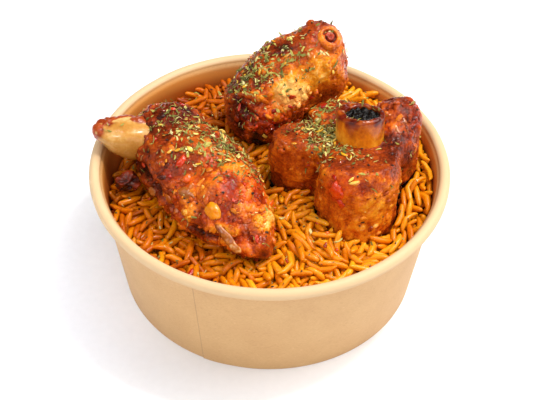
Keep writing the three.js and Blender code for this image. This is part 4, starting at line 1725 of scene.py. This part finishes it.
def red_pepper(random):
    """Bits of cooked red pepper, 1.6 to 4 mm long, flat or curled. Four larger ones are placed one
    by one: a wedge and a round one on the left piece, and a smear of two on the right piece."""
    wedge, ball, left_tip = share("left_meat", (0.39, 0.44, 0.93), (0.42, 0.35, 0.84), (0.84, 0.32, 0.8))
    patch, patch_low, strip = share("right_meat", (0.43, 0.07, 0.8), (0.46, 0.06, 0.72), (0.3, 0.44, 0.5))
    low_left, low_right = share("back_meat", (0.4, 0.07, 0.42), (0.68, 0.22, 0.44))

    def back(p, n):
        return blob(p, low_left, 10) + blob(p, low_right, 8)

    def right(p, n):
        return blob(p, patch, 5) + 0.8 * blob(p, strip, 6) + 0.04 * upward(n)

    found = [
        pick_points("left", 18, strewn(0.15, [left_tip], [9], [1]), random),
        pick_points("back", 20, back, random),
        pick_points("right", 16, right, random),
        on_grains(26, 1.1, random),
        on_skin("left", [wedge, ball]),
        on_skin("right", [patch, patch_low]),
    ]
    places, normals = gathered(found)
    count = len(places)
    length = random.uniform(0.8, 2.1, count)
    wide = length * random.uniform(0.4, 0.7, count)
    sizes = np.stack([length, wide, random.uniform(0.3, 0.6, count)], -1)
    sizes[-4:] = [[3.4, 1.5, 0.9], [2.1, 1.9, 1.9], [4.4, 3.0, 0.9], [3.2, 1.5, 0.8]]
    heading = random.standard_normal((count, 3))
    heading[-4:] = [[0.5, 0.8, 0.3], [1, 0, 0], [0.2, 0, -1], [0.6, 0, -1]]
    proud = places + 0.2 * normals
    points, faces, each = small_shapes(proud, normals, sizes, random, 5, 10, 0.15, 0.3, 0.17, heading)
    tone = random.uniform(0.1, 1.0, count)
    tone[-4:] = [0.65, 0.9, 0.72, 0.6]
    return mesh_object("red_pepper_bits", points, *faces, {"tone": np.repeat(tone, each)})


def yellow_flakes(random):
    """Dried pepper seeds and yellow flakes, 1.4 to 3.4 mm long, and three longer ones placed one by
    one on the right piece."""
    corner, top_left, mid = share("right_meat", (0.52, 0.05, 0.93), (0.3, 0.62, 0.85), (0.47, 0.3, 0.95))
    found = [
        pick_points("left", 34, herb_left, random),
        pick_points("back", 26, herb_back, random),
        pick_points("right", 26, herb_right, random),
        on_skin("right", [corner, top_left, mid]),
    ]
    places, normals = gathered(found)
    count = len(places)
    length = random.uniform(0.7, 1.7, count)
    wide = length * random.uniform(0.3, 0.6, count)
    sizes = np.stack([length, wide, random.uniform(0.15, 0.35, count)], -1)
    sizes[-3:] = [[2.2, 0.6, 0.4], [1.9, 0.8, 0.4], [1.9, 0.7, 0.4]]
    proud = places + 0.6 * normals
    points, faces, each = small_shapes(proud, normals, sizes, random, 3, 9, 0.35, 0.35, 0.12)
    tone = np.repeat(random.uniform(0, 1, count), each)
    return mesh_object("yellow_flakes", points, *faces, {"tone": tone})


def onion_pieces(random):
    """Soft onion: a large orange piece and clear ones on the left piece's near side, and smaller bits
    elsewhere."""
    big, clear, small, lower = share(
        "left_meat", (0.59, 0.17, 0.73), (0.42, 0.27, 0.77), (0.18, 0.41, 0.46), (0.3, 0.32, 0.55)
    )
    bit = share("right_meat", (0.33, 0.42, 0.62))[0]
    found = [
        pick_points("left", 12, lambda p, n: blob(p, clear, 12) + blob(p, lower, 10), random),
        pick_points("right", 8, lambda p, n: 0.3 + blob(p, bit, 8), random),
        pick_points("back", 6, lambda p, n: upward(n), random),
        on_skin("left", [big, clear, small, lower]),
        on_skin("right", bit),
    ]
    places, normals = gathered(found)
    count = len(places)
    length = random.uniform(1.0, 2.0, count)
    sizes = np.stack([length, length * 0.7, length * 0.35], -1)
    sizes[-5:] = [[4.4, 3.0, 1.8], [3.8, 2.3, 0.9], [2.4, 1.8, 0.9], [2.8, 1.6, 0.8], [3.0, 1.5, 0.8]]
    heading = random.standard_normal((count, 3))
    heading[-5:] = [[0.7, -0.6, -0.4], [0.8, -0.3, -0.3], [0.6, -0.5, 0], [0.6, -0.5, -0.3], [0, 0, 1]]
    sunk = places - 0.1 * normals
    points, faces, each = small_shapes(sunk, normals, sizes, random, 9, 18, 0.05, 0.1, 0.02, heading)
    points = points + 0.55 * warp(points, 50, 2.5, 150)
    clearness = random.uniform(0.2, 0.7, count)
    clearness[-5:] = [0.05, 0.9, 0.95, 0.7, 0.4]
    return mesh_object("onion_pieces", points, *faces, {"tone": np.repeat(clearness, each)})


def pepper_specks(random):
    """Ground black pepper, 0.3 to 1 mm across, on the meat and the rice."""
    found = [
        pick_points("left", 110, lambda p, n: 0.3 + upward(n), random),
        pick_points("back", 90, lambda p, n: 0.3 + upward(n), random),
        pick_points("right", 130, lambda p, n: 0.3 + upward(n), random),
        on_grains(130, 1.15, random),
    ]
    places, normals = gathered(found)
    count = len(places)
    r = random.uniform(0.15, 0.5, count)
    sizes = np.stack([r * random.uniform(1, 2, count), r, 0.7 * r], -1)
    proud = places + 0.3 * normals
    points, faces, each = small_shapes(proud, normals, sizes, random, 1, 6, 0.3, 0.0, 0.2)
    tone = np.repeat(random.random(count), each)
    return mesh_object("black_pepper", points, *faces, {"tone": tone}, smooth=False)


STRIP_RISE = np.array([-0.2, -0.75, 0.6]) * 1.1  # out of the meat, towards the diner
STRIP_UP = np.array([-0.25, -0.7, 0.65])


def tendon_strip(start, middle, end, wide, thick):
    """A flat strip with rounded ends along the parabola through three points. It is raised clear
    of the meat, and its edges are torn a little."""
    rings, sides = 40, 16
    t = np.linspace(0, 1, rings)[:, None]
    bend = 2 * middle - (start + end) / 2
    path = start * (1 - t) ** 2 + bend * 2 * t * (1 - t) + end * t**2 + STRIP_RISE
    along = np.gradient(path, axis=0)
    along /= np.linalg.norm(along, axis=1, keepdims=True)
    side = np.cross(STRIP_UP, along)
    side /= np.linalg.norm(side, axis=1, keepdims=True)
    over = np.cross(along, side)
    full = np.sqrt(np.clip(1 - (2 * t - 1) ** 4, 0.02, 1))
    a = np.linspace(0, 2 * math.pi, sides, endpoint=False)[None, :, None]
    ring = wide * np.cos(a) * side[:, None] + thick * np.sin(a) * over[:, None]
    ring = (path[:, None] + full[:, None] * ring).reshape(-1, 3)
    points = np.concatenate([path[:1] - 0.2 * along[:1], ring, path[-1:] + 0.2 * along[-1:]])
    points = points + 0.35 * warp(points, 30, 2.0, 160)
    tone = 0.5 + 0.6 * fractal(points, 1.6, 2, 163)
    return points, closed_faces(rings, sides), {"tone": tone}


def tendon_strips():
    """Pale strips of tendon, bent over the meat: one along the left piece's lower edge and two
    beside the sawn bone."""
    low_edge = share("left_meat", (0.63, 0.1, 0.68), (0.72, 0.03, 0.56), (0.79, 0.0, 0.44))
    near_bone = share("right_meat", (0.78, 0.66, 0.9), (0.82, 0.58, 0.88), (0.83, 0.5, 0.78))
    beyond = share("right_meat", (0.84, 0.7, 0.96), (0.88, 0.62, 0.9), (0.89, 0.56, 0.8))
    parts = [
        tendon_strip(*low_edge, 1.6, 0.8),
        tendon_strip(*near_bone, 1.4, 0.8),
        tendon_strip(*beyond, 1.0, 0.7),
    ]
    return mesh_object("tendon_strips", *merge(parts))


# %% [markdown]
# Dried leaves are matt and let light through, so they get no coat. Pepper, onion and tendon are
# wet and soft: they glow where they are thin and carry the same sharp highlights as the sauce.

# %% Finishes of the scattered bits
def soft_food(name, stops, rough, coat, glow):
    """Colours along tone, a coat for wetness, and light scattered inside."""
    material, tree, shader = new_material(
        name,
        Roughness=rough,
        Coat_Weight=coat,
        Coat_Roughness=0.12,
        Subsurface_Weight=glow,
        Subsurface_Scale=0.0012,
        Subsurface_Radius=(1.0, 0.45, 0.12),
    )
    level = swayed(tree, point_number(tree, "tone"), texture(tree, 900.0, 2.0), 0.3)
    tree.links.new(colour_ramp(tree, level, stops), shader.inputs["Base Color"])
    return material


leaf_tones = [(0.0, "#444512"), (0.3, "#76742a"), (0.65, "#b5a94c"), (1.0, "#efe3a0")]
pepper_tones = [(0.0, "#5e0803"), (0.4, "#b01a02"), (0.75, "#d83c04"), (1.0, "#ec6a0e")]
seed_tones = [(0.0, "#cf7a0a"), (0.4, "#f0b414"), (1.0, "#fbe07a")]
onion_tones = [(0.0, "#ee9206"), (0.3, "#e07c0a"), (0.7, "#a8520f"), (1.0, "#a05c1e")]
peppercorn_tones = [(0.0, "#120a06"), (0.7, "#2c1a0e"), (1.0, "#5c3a1c")]
tendon_tones = [(0.0, "#7f3208"), (0.4, "#9c4e0c"), (0.75, "#b86e26"), (1.0, "#e0ae6c")]
leaf = soft_food("dried_leaf", leaf_tones, 0.75, 0.0, 0.0)
pepper_skin = soft_food("red_pepper_skin", pepper_tones, 0.32, 0.8, 0.12)
seed_coat = soft_food("yellow_seed", seed_tones, 0.4, 0.4, 0.2)
onion_flesh = soft_food("stewed_onion", onion_tones, 0.28, 0.6, 0.3)
peppercorn = soft_food("black_peppercorn", peppercorn_tones, 0.6, 0.0, 0.0)
tendon = soft_food("tendon", tendon_tones, 0.25, 1.0, 0.3)

finish_piece(herbs(dice), leaf, "meat")
finish_piece(sauce_clots(dice), meat_finish, "meat")
finish_piece(red_pepper(dice), pepper_skin, "meat")
finish_piece(yellow_flakes(dice), seed_coat, "meat")
finish_piece(onion_pieces(dice), onion_flesh, "meat")
finish_piece(pepper_specks(dice), peppercorn, "meat")
finish_piece(tendon_strips(), tendon, "meat")
